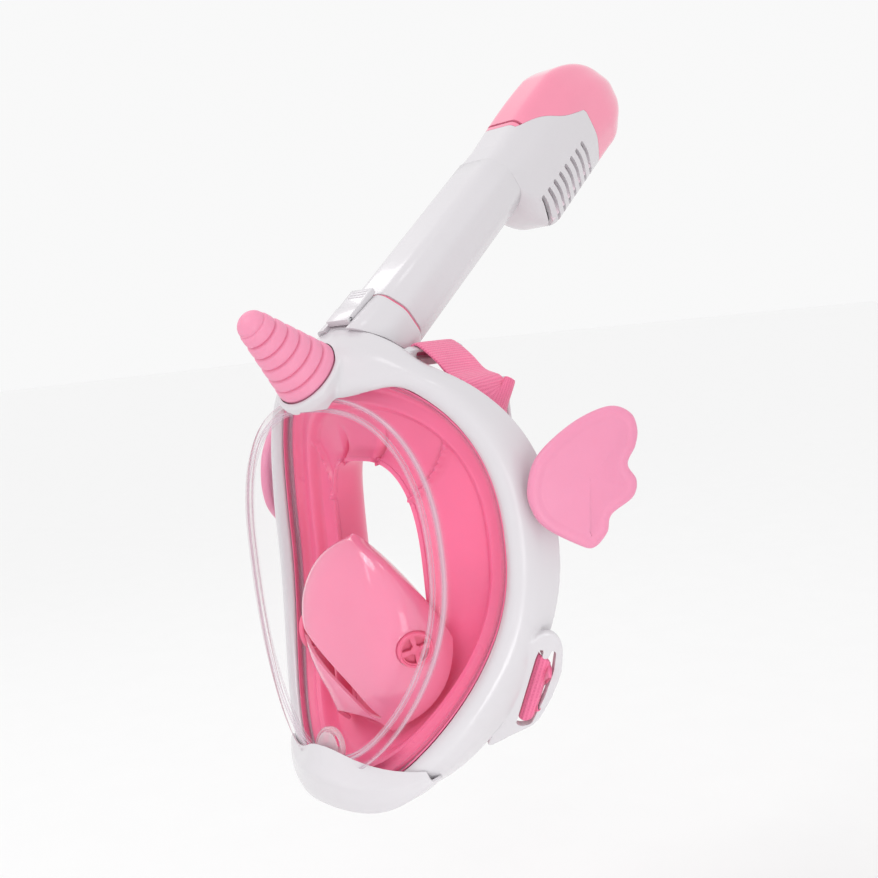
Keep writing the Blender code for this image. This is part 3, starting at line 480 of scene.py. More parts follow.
def clear_of(name, tint, rough, thin, edge):
    """Clear plastic: nearly nothing face on, milky along its surface, and milky where the edge attribute is high,
    which paints lines that stand in for the refraction and reflection lines of its corners.
    """
    made = finish_of(name, tint, rough, vary=0.01, rough_vary=0.01, grain=300.0, bump=0.01, coat=0.0)
    tree = made.node_tree
    shader = tree.nodes["Principled BSDF"]
    facing = node_of(tree, "LayerWeight", {"Blend": 0.35}).outputs["Facing"]
    power = node_of(tree, "Math", {1: 3.6}, {0: facing}, operation="POWER").outputs["Value"]
    span = node_of(tree, "MapRange", {"To Min": thin, "To Max": edge}, {"Value": power}).outputs["Result"]
    # The edge attribute paints milky border lines: they sit on the thicker corners, and their colour is a painted
    # stand-in for refraction and reflection lines.
    painted_edge_lines = node_of(tree, "Attribute", attribute_name="edge").outputs["Fac"]
    alpha = node_of(tree, "Math", {1: 0.80}, {0: painted_edge_lines, 2: span}, operation="MULTIPLY_ADD", use_clamp=True)
    tree.links.new(alpha.outputs["Value"], shader.inputs["Alpha"])
    shader.inputs["IOR"].default_value = 1.58
    return made


def webbing_of(name, colour):
    """Woven elastic: ribs across it, a fine weave with painted shade in its grooves, and a soft sheen. Its
    coordinates are millimetres of cloth.
    """
    made = finish_of(name, colour, 0.8, vary=0.08, rough_vary=0.06, grain=2500.0, bump=0.3, sheen=0.35)
    tree = made.node_tree
    shader = tree.nodes["Principled BSDF"]
    raised = next(n for n in tree.nodes if n.bl_idname == "ShaderNodeBump")
    mix = next(n for n in tree.nodes if n.bl_idname == "ShaderNodeMix")
    cloth = node_of(tree, "UVMap", uv_map="cloth").outputs["UV"]
    split = node_of(tree, "SeparateXYZ", (), {"Vector": cloth})

    def times(a, amount):
        return node_of(tree, "Math", {1: amount}, {0: a}, operation="MULTIPLY").outputs["Value"]

    def wave(axis, pitch):
        turn = times(split.outputs[axis], 2 * math.pi / pitch)
        return node_of(tree, "Math", (), {0: turn}, operation="SINE").outputs["Value"]

    def join(operation, a, b):
        return node_of(tree, "Math", (), {0: a, 1: b}, operation=operation).outputs["Value"]

    ribs = wave("X", RIB_PITCH)
    warp = wave("Y", WARP_PITCH)
    weave = join("ADD", ribs, times(join("MULTIPLY", ribs, warp), 0.7))
    fine = times(join("MULTIPLY", wave("X", YARN_PITCH[0]), wave("Y", YARN_PITCH[1])), 0.35)
    height = join("ADD", weave, fine)
    tree.links.new(height, raised.inputs["Height"])
    raised.inputs["Strength"].default_value = 0.55
    raised.inputs["Distance"].default_value = 0.00022
    # Painted shade: the base colour is multiplied darker where the weave's height is low, in its grooves.
    limits = {"From Min": 1.0, "From Max": -1.6, "To Min": 0.0, "To Max": 0.8}
    groove_shade = node_of(tree, "MapRange", limits, {"Value": height}).outputs["Result"]
    painted_groove_shade = node_of(tree, "Mix", (), (), data_type="RGBA", blend_type="MULTIPLY")
    painted_groove_shade.inputs["B"].default_value = (0.80, 0.62, 0.70, 1)
    tree.links.new(mix.outputs["Result"], painted_groove_shade.inputs["A"])
    tree.links.new(groove_shade, painted_groove_shade.inputs["Factor"])
    tree.links.new(painted_groove_shade.outputs["Result"], shader.inputs["Base Color"])
    shader.inputs["Sheen Roughness"].default_value = 0.4
    return made


WHITE = finish_of("white_plastic", (0.645, 0.622, 0.648), 0.26, vary=0.010, rough_vary=0.01, coat=0.35, bump=0.012)
INNER_WHITE = finish_of("inner_white", (0.66, 0.62, 0.65), 0.4, vary=0.02, bump=0.06)
VENT_PINK = finish_of("vent_screen", (0.80, 0.66, 0.72), 0.5, vary=0.03, bump=0.08)
# The lens tint is the colour of its painted edge lines, which stand in for refraction and reflection lines at the
# corners.
LENS = clear_of("clear_lens", (0.58, 0.45, 0.53), 0.03, 0.0, 0.62)
SEAT_CLEAR = clear_of("clear_seat", (0.75, 0.70, 0.73), 0.12, 0.35, 0.9)
SKIRT = finish_of("skirt_silicone", (0.88, 0.165, 0.320), 0.32, vary=0.05, bump=0.06, soft=0.12)
POCKET = finish_of("pocket_silicone", (0.82, 0.23, 0.37), 0.12, vary=0.03, bump=0.03, coat=0.6, soft=0.15)
SILICONE = finish_of("pink_silicone", (0.80, 0.14, 0.26), 0.4, bump=0.08, soft=0.1)
HORN = finish_of("horn_silicone", (0.82, 0.285, 0.43), 0.5, vary=0.04, grain=1600.0, bump=0.12, soft=0.1)
EAR = finish_of("ear_silicone", (0.76, 0.262, 0.41), 0.38, vary=0.03, grain=1500.0, bump=0.08, soft=0.1)
CAP = finish_of("cap_plastic", (0.86, 0.25, 0.375), 0.14, vary=0.025, bump=0.03, coat=0.6)
RUBBER = finish_of("seat_rubber", (0.80, 0.22, 0.35), 0.5, bump=0.1)
WEBBING = webbing_of("webbing", (0.92, 0.20, 0.37))
STEEL = finish_of("steel", (0.56, 0.56, 0.58), 0.25, vary=0.04, grain=3000.0, bump=0.1)
STEEL.node_tree.nodes["Principled BSDF"].inputs["Metallic"].default_value = 1.0


# ---------------------------------------------------------------- frame, chin cover, horn and ears

def ring_corners(phi):
    slim = slimness(phi)
    depth = slim if math.sin(phi) > 0 else 1.0
    return np.array([ring_point(phi, grow * slim, back * depth) for grow, back in RING_SECTION])


def brow_corners(x):
    """The brow's section at x, as many corners as the ring's section has."""
    fade = math.cos(min(1.0, abs(x) / BROW_REACH) * math.pi / 2) ** 1.3
    edge = math.acos(min(1.0, abs(x) / RING_HALF_WIDTH) ** (RING_POWER / 2))
    ring_z = RING_TOP * math.sin(edge) ** (2 / RING_POWER)
    ring_y = sweep(x, ring_z)
    under_rear = (15.5 + 23.0 * fade**1.6, 9.0 - 11.5 * fade)
    under = (10.5, 8.6 - 0.2 * fade)
    spots = [(0.5 - 13.0 * fade, 1.0 - 14.5 * fade**1.4), (-1.0 - 15.0 * fade, 5.0 - 11.0 * fade),
             (3.0 - 12.0 * fade, 8.5 + 3.0 * fade), (8.0 - 1.0 * fade, 10.5 + 7.5 * fade),
             (12.0 - 2.0 * fade, 10.5 + 10.0 * fade), (16.0 + 28.0 * fade**1.6, 10.0 - 7.4 * fade), under_rear,
             ((under_rear[0] + under[0]) / 2, (under_rear[1] + under[1]) / 2), under,
             (3.7 - 8.7 * fade, 2.9 - 13.5 * fade**1.4)]
    return np.array([(x, ring_y + y, ring_z + z) for y, z in spots])


def frame_shell():
    """The ring and the brow as one closed surface."""
    rows = []
    for phi in angles(RING_STEPS):
        corners, radii = ring_corners(phi), np.array(RING_RADII)
        x, _ = egg(phi)
        if math.sin(phi) > 0 and abs(x) < BROW_REACH:
            w = ease((BROW_REACH - abs(x)) / BROW_BLEND)
            corners = corners + (brow_corners(x) - corners) * w
            radii = radii + (np.array(BROW_RADII) - radii) * w
        rows.append(rounded(corners, radii, 5, 2))
    return make("face_ring", *loop_solid(rows), WHITE)


def horn_axis():
    return 0.0, -math.cos(HORN_TILT), math.sin(HORN_TILT)


def lens_rows(steps, raised=0.7):
    """The lens's outer surface: a flat-fronted panel, a raised border, a rounded corner and the side wall."""
    outer = []
    for part in (0.05, 0.2, 0.4, 0.6, 0.75, 0.86, 0.905, 0.913, 0.918, 0.926, 0.94):
        rim = raised * ease((part - 0.905) / 0.018)
        row = []
        for phi in angles(steps):
            x, z = egg(phi, scale=PANEL_SCALE * part)
            row.append((x, panel_y(x, z) - rim, z))
        outer.append(row)
    for turn in (15, 35, 55, 72, 90):
        a = math.radians(turn)
        row = []
        for phi in angles(steps):
            x, z = egg(phi, scale=PANEL_SCALE * (0.955 + 0.045 * math.sin(a)))
            y = panel_y(x, z)
            y += (ring_point(phi, -1.2, 3)[1] - y) * 0.16 * (1 - math.cos(a)) - raised * math.cos(a)
            row.append((x, y, z))
        outer.append(row)
    wall = np.array(outer[-1])
    rim = np.array([ring_point(phi, -1.0, 4.0) for phi in angles(steps)])
    for t in (0.12, 0.3, 0.5, 0.7, 0.88, 1.0):
        outer.append(wall + (rim - wall) * t)
    return np.array(outer)


def lens_room():
    rows = behind(lens_rows(160, 0.0), -GAP)
    rows = np.concatenate([rows, rows[-1:] + np.array([0, 4, 0])])
    return make("lens_room", *loft_solid(rows))


LOWER_LUG_OUTLINE = ((-25, -9), (-29, -1.5), (-23.5, 5.0), (-9, 8.6), (5, 7.6), (19, 4.4), (26.5, -6), (34, -15.6),
                     (20, -14), (0, -10))
LOWER_SLOT_OUTLINE = ((-15.2, -5.2), (-19.2, -4.6), (-19.2, -2.6), (-15.0, -2.4), (-15.0, 0.4), (-19.4, 0.8),
                      (-18.6, 3.2), (-9, 4.6), (5, 4.0), (19.0, 1.8), (20.4, -2.0), (19.6, -5.2))


def lower_lug_plate(name, side, outline, radius, arc, flat, half, finish=None):
    """A rounded outline in the plane of a lower lug, made solid to half a thickness on each side."""
    along, out = mirrored(LOWER_LUG_ALONG, side), mirrored(LOWER_LUG_OUT, side)
    outline = rounded(outline, radius, arc, flat)
    return plate(name, outline, mirrored(LOWER_LUG_CENTRE, side), along, out, -half, half, finish)


def upper_lug_plate(name, side, width, low, high, radius, half, finish=None):
    outline = rounded(((-width, low), (width, low), (width, high), (-width, high)), radius)
    up = mirrored(UPPER_LUG_UP, side)
    return plate(name, outline, mirrored(UPPER_LUG_CENTRE, side), (0, 1, 0), up, -half, half, finish)


def front_frame():
    """The ring, the brow, the horn's cup and the four lugs, blended into one moulding and then cut."""
    shell = frame_shell()
    w = Vector(horn_axis())
    rim = [(HORN_RADIUS + 2.7, -4), (HORN_RADIUS + 2.6, -0.6), (HORN_RADIUS + 2.2, 0.4), (HORN_RADIUS + 1.4, 0.7)]
    parts = [turned("cup", [(0, -16), (14, -16), *rim, (0, 0.7)], HORN_BASE, w, WHITE, 96)]
    for side, word in SIDES:
        parts.append(lower_lug_plate("lug_low_" + word, side, LOWER_LUG_OUTLINE, 5.0, 8, 3, 1.6, WHITE))
        parts.append(upper_lug_plate("lug_top_" + word, side, 18, -5.4, 3.2, 2.5, 2, WHITE))
    bm = bmesh.new()
    for obj in [shell] + parts:
        bm.from_mesh(obj.data)
    bm.to_mesh(shell.data)
    bm.free()
    for obj in parts:
        bpy.data.objects.remove(obj)
    step = shell.modifiers.new("Union", "REMESH")
    step.mode = "VOXEL"
    step.voxel_size = REMESH_STEP * MM
    smooth = shell.modifiers.new("Fillet", "SMOOTH")
    smooth.factor = 0.5
    smooth.iterations = FILLET_PASSES
    baked(shell)
    tools = [disc("recess", HORN_RADIUS + GAP, -3.0, 8.0, HORN_BASE, w, steps=96),
             disc("stud_hole", 3.2, -9, 1, HORN_BASE, w, steps=32), lens_room()]
    sizes = ((0, 14.8, 12.4), (-27, 14.8, 12.4), (-27.3, 12, 9), (-75, 12, 9))
    tools.append(make("air_way", *loft_solid([oval(*size) for size in sizes])))
    for side, word in SIDES:
        tools.append(lower_lug_plate("slot_low_" + word, side, LOWER_SLOT_OUTLINE, 1.6, 6, 2, 9))
        tools.append(upper_lug_plate("slot_top_" + word, side, 13, -1.8, 1.8, 1.0, 9))
    boolean(shell, "DIFFERENCE", tools)
    if not shell.data.materials:
        shell.data.materials.append(WHITE)
    settle(shell, "mask", ["front_frame"])


# Per row of the lens, how strongly the edge attribute paints milky lines that stand in for refraction and reflection
# at the border corners.
LENS_EDGES = (0, 0, 0, 0, 0, 0, 0, 0.9, 0.08, 0.9, 0, 0, 0.1, 1.0, 0.1, 0, 0, 0, 0, 0, 0, 0.9)
INNER_EDGE = 0.75


def lens():
    """The visor. Its edge attribute is high on the border lines, where the plastic is thicker; there it paints milky
    lines that stand in for the refraction and reflection lines at the lens's corners.
    """
    outer = lens_rows(LENS_STEPS)
    inner = behind(lens_rows(LENS_STEPS, 0.0), LENS_THICKNESS)
    made = make("visor_lens", *shell_solid(outer, inner, pole=True), LENS, sharp=60)
    hole = disc("purge_hole", PURGE_RADIUS + GAP, -12, 12, purge_centre(), PURGE_AXIS)
    boolean(made, "DIFFERENCE", [hole], 60, folded=True)
    tree = KDTree(outer.shape[0] * outer.shape[1] * 2)
    for start, shell in ((0, outer), (len(LENS_EDGES), inner)):
        for row, points in enumerate(shell):
            for point in points:
                tree.insert(Vector(point) * MM, start + row)
    tree.balance()
    # The edge attribute carries the painted lines that stand in for refraction and reflection at the border corners.
    layer = made.data.attributes.new("edge", "FLOAT", "POINT")
    for k, vertex in enumerate(made.data.vertices):
        _, index, _ = tree.find(vertex.co)
        amount = 1.0 if index < len(LENS_EDGES) else INNER_EDGE
        layer.data[k].value = LENS_EDGES[index % len(LENS_EDGES)] * amount
    settle(made, "mask", ["lens"])


def purge_centre():
    return 0.0, panel_y(0, -82) + 1.0, -82.0


def chin_cover():
    """The chin cover: a soft ridge runs across it, and its ends taper to points on the ring."""
    columns, outer = 121, []
    for t in np.concatenate([np.linspace(0, 1, 22), np.linspace(1.04, 1.2, 5), np.linspace(1.3, 2.0, 6)]):
        row = []
        for j in range(columns):
            u = -1 + 2 * j / (columns - 1)
            phi = -math.pi / 2 + u * CHIN_COVER_REACH
            x, z = egg(phi)
            middle = 1 - abs(u) ** 2.2
            full = 1 - abs(u) ** 6
            lowest = 13.0 * slimness(phi) + 0.4 + 1.2 * full
            turn = ease((t - 0.86) / 0.34)
            fore_grow = lowest - 1.2 - (4.0 + 24.0 * middle) * (1 - min(t, 1.0))
            fore_back = -2.6 - 2.4 * full - 5.2 * middle * math.sin(math.pi * (0.12 + 0.88 * min(t, 1.0)))
            ridge = 1.1 * middle * math.exp(-((t - 0.42 - 0.12 * u) / 0.10) ** 2)
            aft_back = -1.8 - 1.8 * full + (6 + 6 * middle) * max(0.0, t - 1.2) / 0.8
            grow = fore_grow + (lowest - fore_grow) * turn
            back = (fore_back - ridge) * (1 - turn) + aft_back * turn
            wide_x, wide_z = egg(phi, grow)
            row.append((wide_x, sweep(x, z) + back, wide_z))
        outer.append(row)
    inner = offset_grid(outer, 1.0, closed=False)
    if inner[8, columns // 2, 1] < outer[8][columns // 2][1]:
        inner = offset_grid(outer, -1.0, closed=False)
    made = make("chin_cover_shell", *shell_solid(outer, inner, closed=False), WHITE)
    settle(made, "mask", ["chin_cover"])


def horn():
    """Stepped rings that each swell over the next one."""
    profile = [(0, -2.4), (HORN_RADIUS - 0.9, -2.4), (HORN_RADIUS - 0.3, -1.8)]
    for k in range(HORN_STEPS):
        low, high = k / HORN_STEPS * 0.86, (k + 1) / HORN_STEPS * 0.86
        wide, slim = HORN_RADIUS * (1 - 0.66 * low), HORN_RADIUS * (1 - 0.66 * high)
        base, top = HORN_LENGTH * low, HORN_LENGTH * high
        for t, inset in ((0.05, 1.0), (0.09, 0.75), (0.14, 0.35), (0.22, 0.1), (0.34, 0.1)):
            profile.append((wide - inset, base + (top - base) * t))
        for t in (0.5, 0.7, 0.86):
            taper = (slim + 0.5 - wide + 0.1) * ((t - 0.34) / 0.66) ** 1.15
            profile.append((wide - 0.1 + taper, base + (top - base) * t))
        profile.append((slim + 0.30, base + (top - base) * 0.95))
        profile.append((slim - 0.25, base + (top - base) * 0.995))
    top, radius = 0.86 * HORN_LENGTH, HORN_RADIUS * (1 - 0.66 * 0.86)
    for a in (8, 20, 32, 44, 56, 68, 80):
        a = math.radians(a)
        profile.append((radius * math.cos(a), top + (HORN_LENGTH - top) * math.sin(a)))
    profile.append((0, HORN_LENGTH))
    made = turned("horn_body", profile, HORN_BASE, horn_axis(), HORN, 96, 60)
    boolean(made, "DIFFERENCE", [disc("horn_socket", 2.9, -5, 11, HORN_BASE, horn_axis(), steps=32)], 60)
    settle(made, "mask", ["horn"])
    stud = disc("horn_peg", 2.5, -8.6, 10.5, HORN_BASE, horn_axis(), WHITE, 32, 0.4)
    settle(stud, "mask", ["horn_stud"])


def ears():
    """Wing-shaped ears: full rounded edges, a slightly crowned face and a shallow border."""
    line = even(catmull(EAR_OUTLINE, 400, closed=True), 160, closed=True)
    middle = line.mean(axis=0)
    inward = np.roll(line, -3, axis=0) - np.roll(line, 3, axis=0)
    inward = np.stack([-inward[:, 1], inward[:, 0]], axis=1)
    inward /= np.linalg.norm(inward, axis=1, keepdims=True)
    if ((middle - line) * inward).sum() < 0:
        inward = -inward
    profile = [(1.6, -0.50), (0.7, -0.44), (0.2, -0.32), (0.0, -0.14), (0.0, 0.06), (0.25, 0.24), (0.8, 0.38),
               (1.6, 0.47), (2.6, 0.515), (3.6, 0.51), (4.4, 0.49), (5.4, 0.50), (7.5, 0.54)]
    for side, word in SIDES:
        corner, along = Vector(mirrored(EAR_CORNER, side)), Vector(mirrored(EAR_AXIS, side))
        normal = Vector((EAR_AXIS[1] * side, -EAR_AXIS[0], 0))
        rows = []
        for inset, lift in profile:
            flat = line + inward * inset
            rows.append([corner + along * a + Vector((0, 0, b)) + normal * lift * EAR_THICKNESS for a, b in flat])
        rim = line + inward * 7.5
        for share, lift in ((0.75, 0.59), (0.5, 0.63), (0.25, 0.655), (0.06, 0.66)):
            flat = middle + (rim - middle) * share
            rows.append([corner + along * a + Vector((0, 0, b)) + normal * lift * EAR_THICKNESS for a, b in flat])
        made = make("wing_" + word, *loft_solid(rows), EAR, sharp=50)
        settle(made, "mask", ["ear_" + word])
        foot = corner + along * EAR_STUD_AT[0] + Vector((0, 0, EAR_STUD_AT[1])) - normal * (EAR_THICKNESS / 2 + GAP)
        stud = disc("wing_stud_" + word, 4.0, -STUD_LENGTH, 0, foot, normal, WHITE, 48, 0.5)
        settle(stud, "mask", ["ear_stud_" + word])


# ---------------------------------------------------------------- skirt, pocket and valves

def relief(phi, out):
    """How far the skirt's front wall stands forward, from its ribs, folds and recessed panels."""
    degrees = math.degrees(phi) % 360
    rib = 1.2 * math.exp(-((out - 0.90) / 0.035) ** 2) - 3.2 * ease((0.84 - out) / 0.07) * ease(out / 0.22)
    folds = 0.0
    for centre, width in ((78, 2.2), (102, 2.2)):
        folds -= 4.5 * math.exp(-((degrees - centre) / width) ** 2) * ease((0.62 - out) / 0.5)
    for centre, lean in ((38, 14), (142, -14)):
        folds += 3.0 * math.exp(-((degrees - centre - lean * (out - 0.5)) / 1.6) ** 2) * ease((0.84 - out) / 0.08)
    return rib + folds


GASKET_BEAD = ((-0.6, 8.6), (-0.9, 6.4), (-1.6, 4.9), (-2.8, 4.3), (-4.0, 4.9), (-4.8, 6.3), (-6.0, 7.4), (-7.5, 7.6))
RIM_GASKET = ((-0.15, 0.8), (-0.15, 4.4), (1.0, 5.8), (2.0, 8.8), (0.9, 8.8), (0.2, 6.2), (-0.8, 4.6), (-0.8, 0.8))


def face_skirt():
    """The skirt: a flange, a bead against the lens, the front wall, the crest and the sealing lip."""
    ring = angles(SKIRT_STEPS)
    rows = [[ring_point(phi, 6.0 * slimness(phi) ** 1.5, 11.0) for phi in ring],
            [ring_point(phi, 2.0 * slimness(phi), 10.0) for phi in ring]]
    for grow, back in GASKET_BEAD:
        rows.append([ring_point(phi, grow, back) for phi in ring])
    for out in np.linspace(1.0, 0.03, 26):
        row = []
        for phi in ring:
            x, y, z = skirt_front(phi, out)
            row.append((x, y - relief(phi, out), z))
        rows.append(row)
    lip = []
    for grow, back in ((0.0, 0.0), (0.5, 15.0), (6.0, 24.0), (16.0, 31.0), (25.0, 32.5)):
        row = []
        for phi in ring:
            low = max(0.0, -math.sin(phi))
            x, z = opening(phi, grow * (1 - 0.5 * low))
            row.append((x, crest_y(phi) + back * (1 - 0.15 * low), z))
        lip.append(row)
    lip = catmull(lip, 25)
    outer = np.concatenate([np.array(rows), lip])
    inner = offset_grid(outer, SKIRT_THICKNESS)
    if inner[-12, :, 1].mean() > outer[-12, :, 1].mean() + 5 or inner[12, :, 1].mean() < outer[12, :, 1].mean():
        inner = offset_grid(outer, -SKIRT_THICKNESS)
    made = make("skirt_silicone_shell", *shell_solid(outer, inner), SKIRT, sharp=60)
    settle(made, "mask", ["face_skirt"])
    rows = []
    for grow, back in RIM_GASKET:
        row = []
        for phi in ring:
            depth = slimness(phi) if math.sin(phi) > 0 else 1.0
            row.append(ring_point(phi, grow * slimness(phi), back * depth))
        rows.append(row)
    liner = make("rim_gasket", *loop_solid(rows), SKIRT)
    settle(liner, "mask", ["face_skirt"])


def hermite(v, places, values):
    """A smooth curve through the values."""
    slopes = np.gradient(np.asarray(values, float), np.asarray(places, float))
    k = min(len(places) - 2, max(0, int(np.searchsorted(places, v)) - 1))
    h = places[k + 1] - places[k]
    t = (v - places[k]) / h
    a, b = 2 * t**3 - 3 * t**2 + 1, -2 * t**3 + 3 * t**2
    return a * values[k] + b * values[k + 1] + h * ((t**3 - 2 * t**2 + t) * slopes[k] + (t**3 - t**2) * slopes[k + 1])


def pocket_point(u, v):
    side = 1 if u >= 0 else -1
    phi = math.radians(-14 - 58 * v)
    x, y, z = skirt_front(phi, 0.30)
    y -= 2.4
    x += 6.5 * math.sin(math.pi * min(1.0, v + 0.15))
    front_y = hermite(v, (0, 0.1, 0.3, 0.6, 1), (12.5, 7.5, 1.0, -1.6, 1.0))
    front_z = hermite(v, (0, 0.1, 0.3, 0.6, 1), (7.5, 4.0, -12, -42, -72))
    power = 2 / (1.35 + 3.2 * min(1.0, 2 * v))
    across, lift = math.sin(abs(u) * math.pi / 2) ** power, math.cos(abs(u) * math.pi / 2) ** power
    return x * across * side, y + (front_y - y) * lift, z + (front_z - z) * lift


def valve_site(side):
    u, v, step = 0.80 * side, 0.40, 0.02
    centre = Vector(pocket_point(u, v))
    across = Vector(pocket_point(u + step * side, v)) - centre
    down = Vector(pocket_point(u, v + step)) - centre
    normal = across.cross(down).normalized()
    return centre, -normal if normal.y > 0 else normal


FOLD_ROUTE, FOLD_STEPS = ((-31, -36), (-24, -41.5), (-13, -50), (0, -60), (9, -67.5), (15, -72)), 40


def nose_pocket():
    """The nose pocket: a thin domed wall with a hole for each inhale valve and a folded slit."""
    rows, columns = 61, 121
    outer = []
    for i in range(rows):
        row = []
        for j in range(columns):
            t = -1 + 2 * j / (columns - 1)
            row.append(pocket_point(t, i / (rows - 1)))
        outer.append(row)
    inner = behind(outer, 1.6, closed=False)
    made = make("nose_cup", *shell_solid(outer, inner, closed=False), POCKET, sharp=60)
    tools = []
    for side, word in SIDES:
        centre, normal = valve_site(side)
        tools.append(disc("hole_" + word, VALVE_RADIUS + GAP, -7, 7, centre, normal))
    route = catmull(FOLD_ROUTE, FOLD_STEPS)
    last = FOLD_STEPS - 1
    rows = []
    for k, (x, z) in enumerate(route):
        along = route[min(k + 1, last)] - route[max(k - 1, 0)]
        along /= np.linalg.norm(along)
        width = 0.5 + 2.6 * math.sin(math.pi * min(1.0, 0.06 + 0.94 * k / last)) ** 0.7
        corners = ((-1, -12), (1, -12), (1, 12), (-1, 12))
        rows.append([(x - along[1] * e * width, y, z + along[0] * e * width) for e, y in corners])
    tools.append(make("fold", *loft_solid(rows)))
    boolean(made, "DIFFERENCE", tools, 60, folded=True)
    settle(made, "mask", ["nose_pocket"])


def spoked_seat(name, centre, axis, radius, finish):
    """A valve seat: a rim, four quarter windows between spokes, and a hub."""
    profile = [(0, -1.2), (radius - 0.4, -1.2), (radius, -0.8), (radius, 0.8), (radius - 0.3, 1.2),
               (radius - 1.1, 1.2), (radius - 1.4, 0.6), (1.6, 0.6), (1.2, 0.9), (0, 0.9)]
    made = turned(name, profile, centre, axis, finish)
    u, v, w = frame_of(axis)
    tools = []
    for k in range(4):
        start = math.radians(90 * k + 45)
        inner, outer = radius * 0.26, radius * 0.76
        outline = []
        for r, turns in ((outer, np.linspace(-0.58, 0.58, 9)), (inner, np.linspace(0.38, -0.38, 4))):
            outline += [(r * math.cos(a + start), r * math.sin(a + start)) for a in turns]
        rows = [[Vector(centre) + u * a + v * b + w * h for a, b in outline] for h in (-4, 4)]
        tools.append(make("window_%d" % k, *loft_solid(rows)))
    return boolean(made, "DIFFERENCE", tools)


def valves():
    for side, word in SIDES:
        centre, normal = valve_site(side)
        seat = spoked_seat("valve_seat_" + word, centre, normal, VALVE_RADIUS, SILICONE)
        settle(seat, "mask", ["inhale_seat_" + word])
        flap = disc("valve_flap_" + word, VALVE_RADIUS - 1.2, -2.3, -1.2 - GAP, centre, normal, SILICONE, 48, 0.2)
        settle(flap, "inhale_flap_" + word, ["inhale_flap_" + word])
    seat = spoked_seat("chin_valve_seat", purge_centre(), PURGE_AXIS, PURGE_RADIUS, SEAT_CLEAR)
    settle(seat, "mask", ["purge_seat"])
    flap = disc("chin_valve_flap", PURGE_RADIUS - 2.2, 1.2 + GAP, 2.1, purge_centre(), PURGE_AXIS, SEAT_CLEAR, 48,
                0.15)
    settle(flap, "purge_flap", ["purge_flap"])


# ---------------------------------------------------------------- snorkel

def oval(s, half_width, half_depth):
    """The air way's section at station s."""
    section = []
    for a in angles(BORE_STEPS):
        section.append(F(s, half_width * bent(math.cos(a), BORE_POWER), half_depth * bent(math.sin(a), BORE_POWER)))
    return section


def unit_section(fine=5):
    """The tube's outline in a unit square: broad flat faces joined by narrower slanted ones."""
    corners = ((1, -0.42), (1, 0.42), (0.58, 1), (-0.58, 1), (-1, 0.42), (-1, -0.42), (-0.58, -1), (0.58, -1))
    return rounded(corners, 0.20, fine, 5)


def tube_row(s, grow, section):
    half, deep = TUBE_HALF_WIDTH + grow, TUBE_HALF_DEPTH + grow
    return [F(s, half * a, deep * b) for a, b in section]


def head_limits(s):
    front, rear, half = TUBE_HALF_DEPTH - 0.5, HEAD_REAR, TUBE_HALF_WIDTH
    if s < 124:
        t = min(1.0, (124 - s) / 26)
        rear = -TUBE_HALF_DEPTH + (HEAD_REAR + TUBE_HALF_DEPTH) * (1 - t**2) ** 0.9
    if 110 < s:
        front += 3.0 * math.sin(math.pi * min(1.0, (s - 110) / 100))
    if s > 172:
        t = min(1.0, (s - 172) / (HEAD_END - 172))
        front -= 30 * (1 - math.sqrt(1 - t**2)) + 5 * t
    if s > 192:
        t = min(1.0, (s - 192) / (HEAD_END - 192))
        rear = HEAD_REAR - 1.0 * math.sin(math.pi * t) + 22 * (1 - math.sqrt(1 - t**2))
        half = TUBE_HALF_WIDTH * (0.30 + 0.70 * math.sqrt(1 - t**2))
    return half, front, rear


def cap_seam(height):
    """The seam's station, from the height on the section: 1 at its front and -1 at its rear."""
    if height > 0.93:
        return 126.0
    if height > 0.13:
        t = (0.93 - height) / 0.80
        return 126.0 + 49.0 * (t + 0.06 * math.sin(2 * math.pi * t))
    return 175.0


def head_grid(from_station, to_station, rows, section, inset=0.0, bunch=1.0):
    grid = []
    for i in range(rows):
        t = 1 - (1 - i / (rows - 1)) ** bunch
        row = []
        for a, b in section:
            s = from_station(b) + (to_station(b) - from_station(b)) * t
            half, front, rear = head_limits(s)
            middle, depth = (front + rear) / 2, (front - rear) / 2 - inset
            row.append(F(s, (half - inset) * a, middle + depth * b))
        grid.append(row)
    return grid


def snorkel_tube():
    section = unit_section()
    spigot = SEAM - SPIGOT_LENGTH
    outside = ((spigot, -4.2), (spigot + 0.6, -3.7), (SEAM, -3.7), (SEAM + 0.02, -0.8), (SEAM + 0.35, -0.2),
               (SEAM + 1.0, 0.0), (20, 0.0), (50, 0.0), (80, 0.0), (TUBE_TOP - 0.1, 0.0), (TUBE_TOP, -0.05))
    inside = ((spigot, -5.6), (spigot + 1, -5.6), (SEAM, -5.6), (SEAM + 2, -4.0), (SEAM + 4.0, -TUBE_WALL),
              (SEAM + 8, -TUBE_WALL), (20, -TUBE_WALL), (50, -TUBE_WALL), (80, -TUBE_WALL),
              (TUBE_TOP - 0.5, -TUBE_WALL), (TUBE_TOP, -TUBE_WALL))
    outer = [tube_row(s, grow, section) for s, grow in outside]
    inner = [tube_row(s, grow, section) for s, grow in inside]
    made = make("tube", *shell_solid(outer, inner), WHITE, sharp=35)
    settle(made, "snorkel", ["snorkel_tube"])
    lip = ((SEAM - 1.7, -0.5), (SEAM - 1.5, -0.2), (SEAM - 0.5, -0.2), (SEAM - 0.3, -0.5))
    lining = ((-19.5, -1.3), (-19.0, -0.9), (SEAM - 2.0, -0.7))
    for name, stations, body, node in (("gasket", lip, "snorkel", "socket_gasket"),
                                       ("gasket_sleeve", lining, "mask", "snorkel_socket")):
        rows = [tube_row(s, grow, section) for s, grow in stations]
        walls = [tube_row(s, GASKET_INSIDE, section) for s, grow in stations]
        settle(make(name, *shell_solid(rows, walls), SILICONE), body, [node])
    web = block("air_web", F(52, 0, -3.0), TUBE_AXES, (28.4, 86, 1.4), INNER_WHITE)
    settle(bevelled(web, 0.4), "snorkel", ["air_divider"])


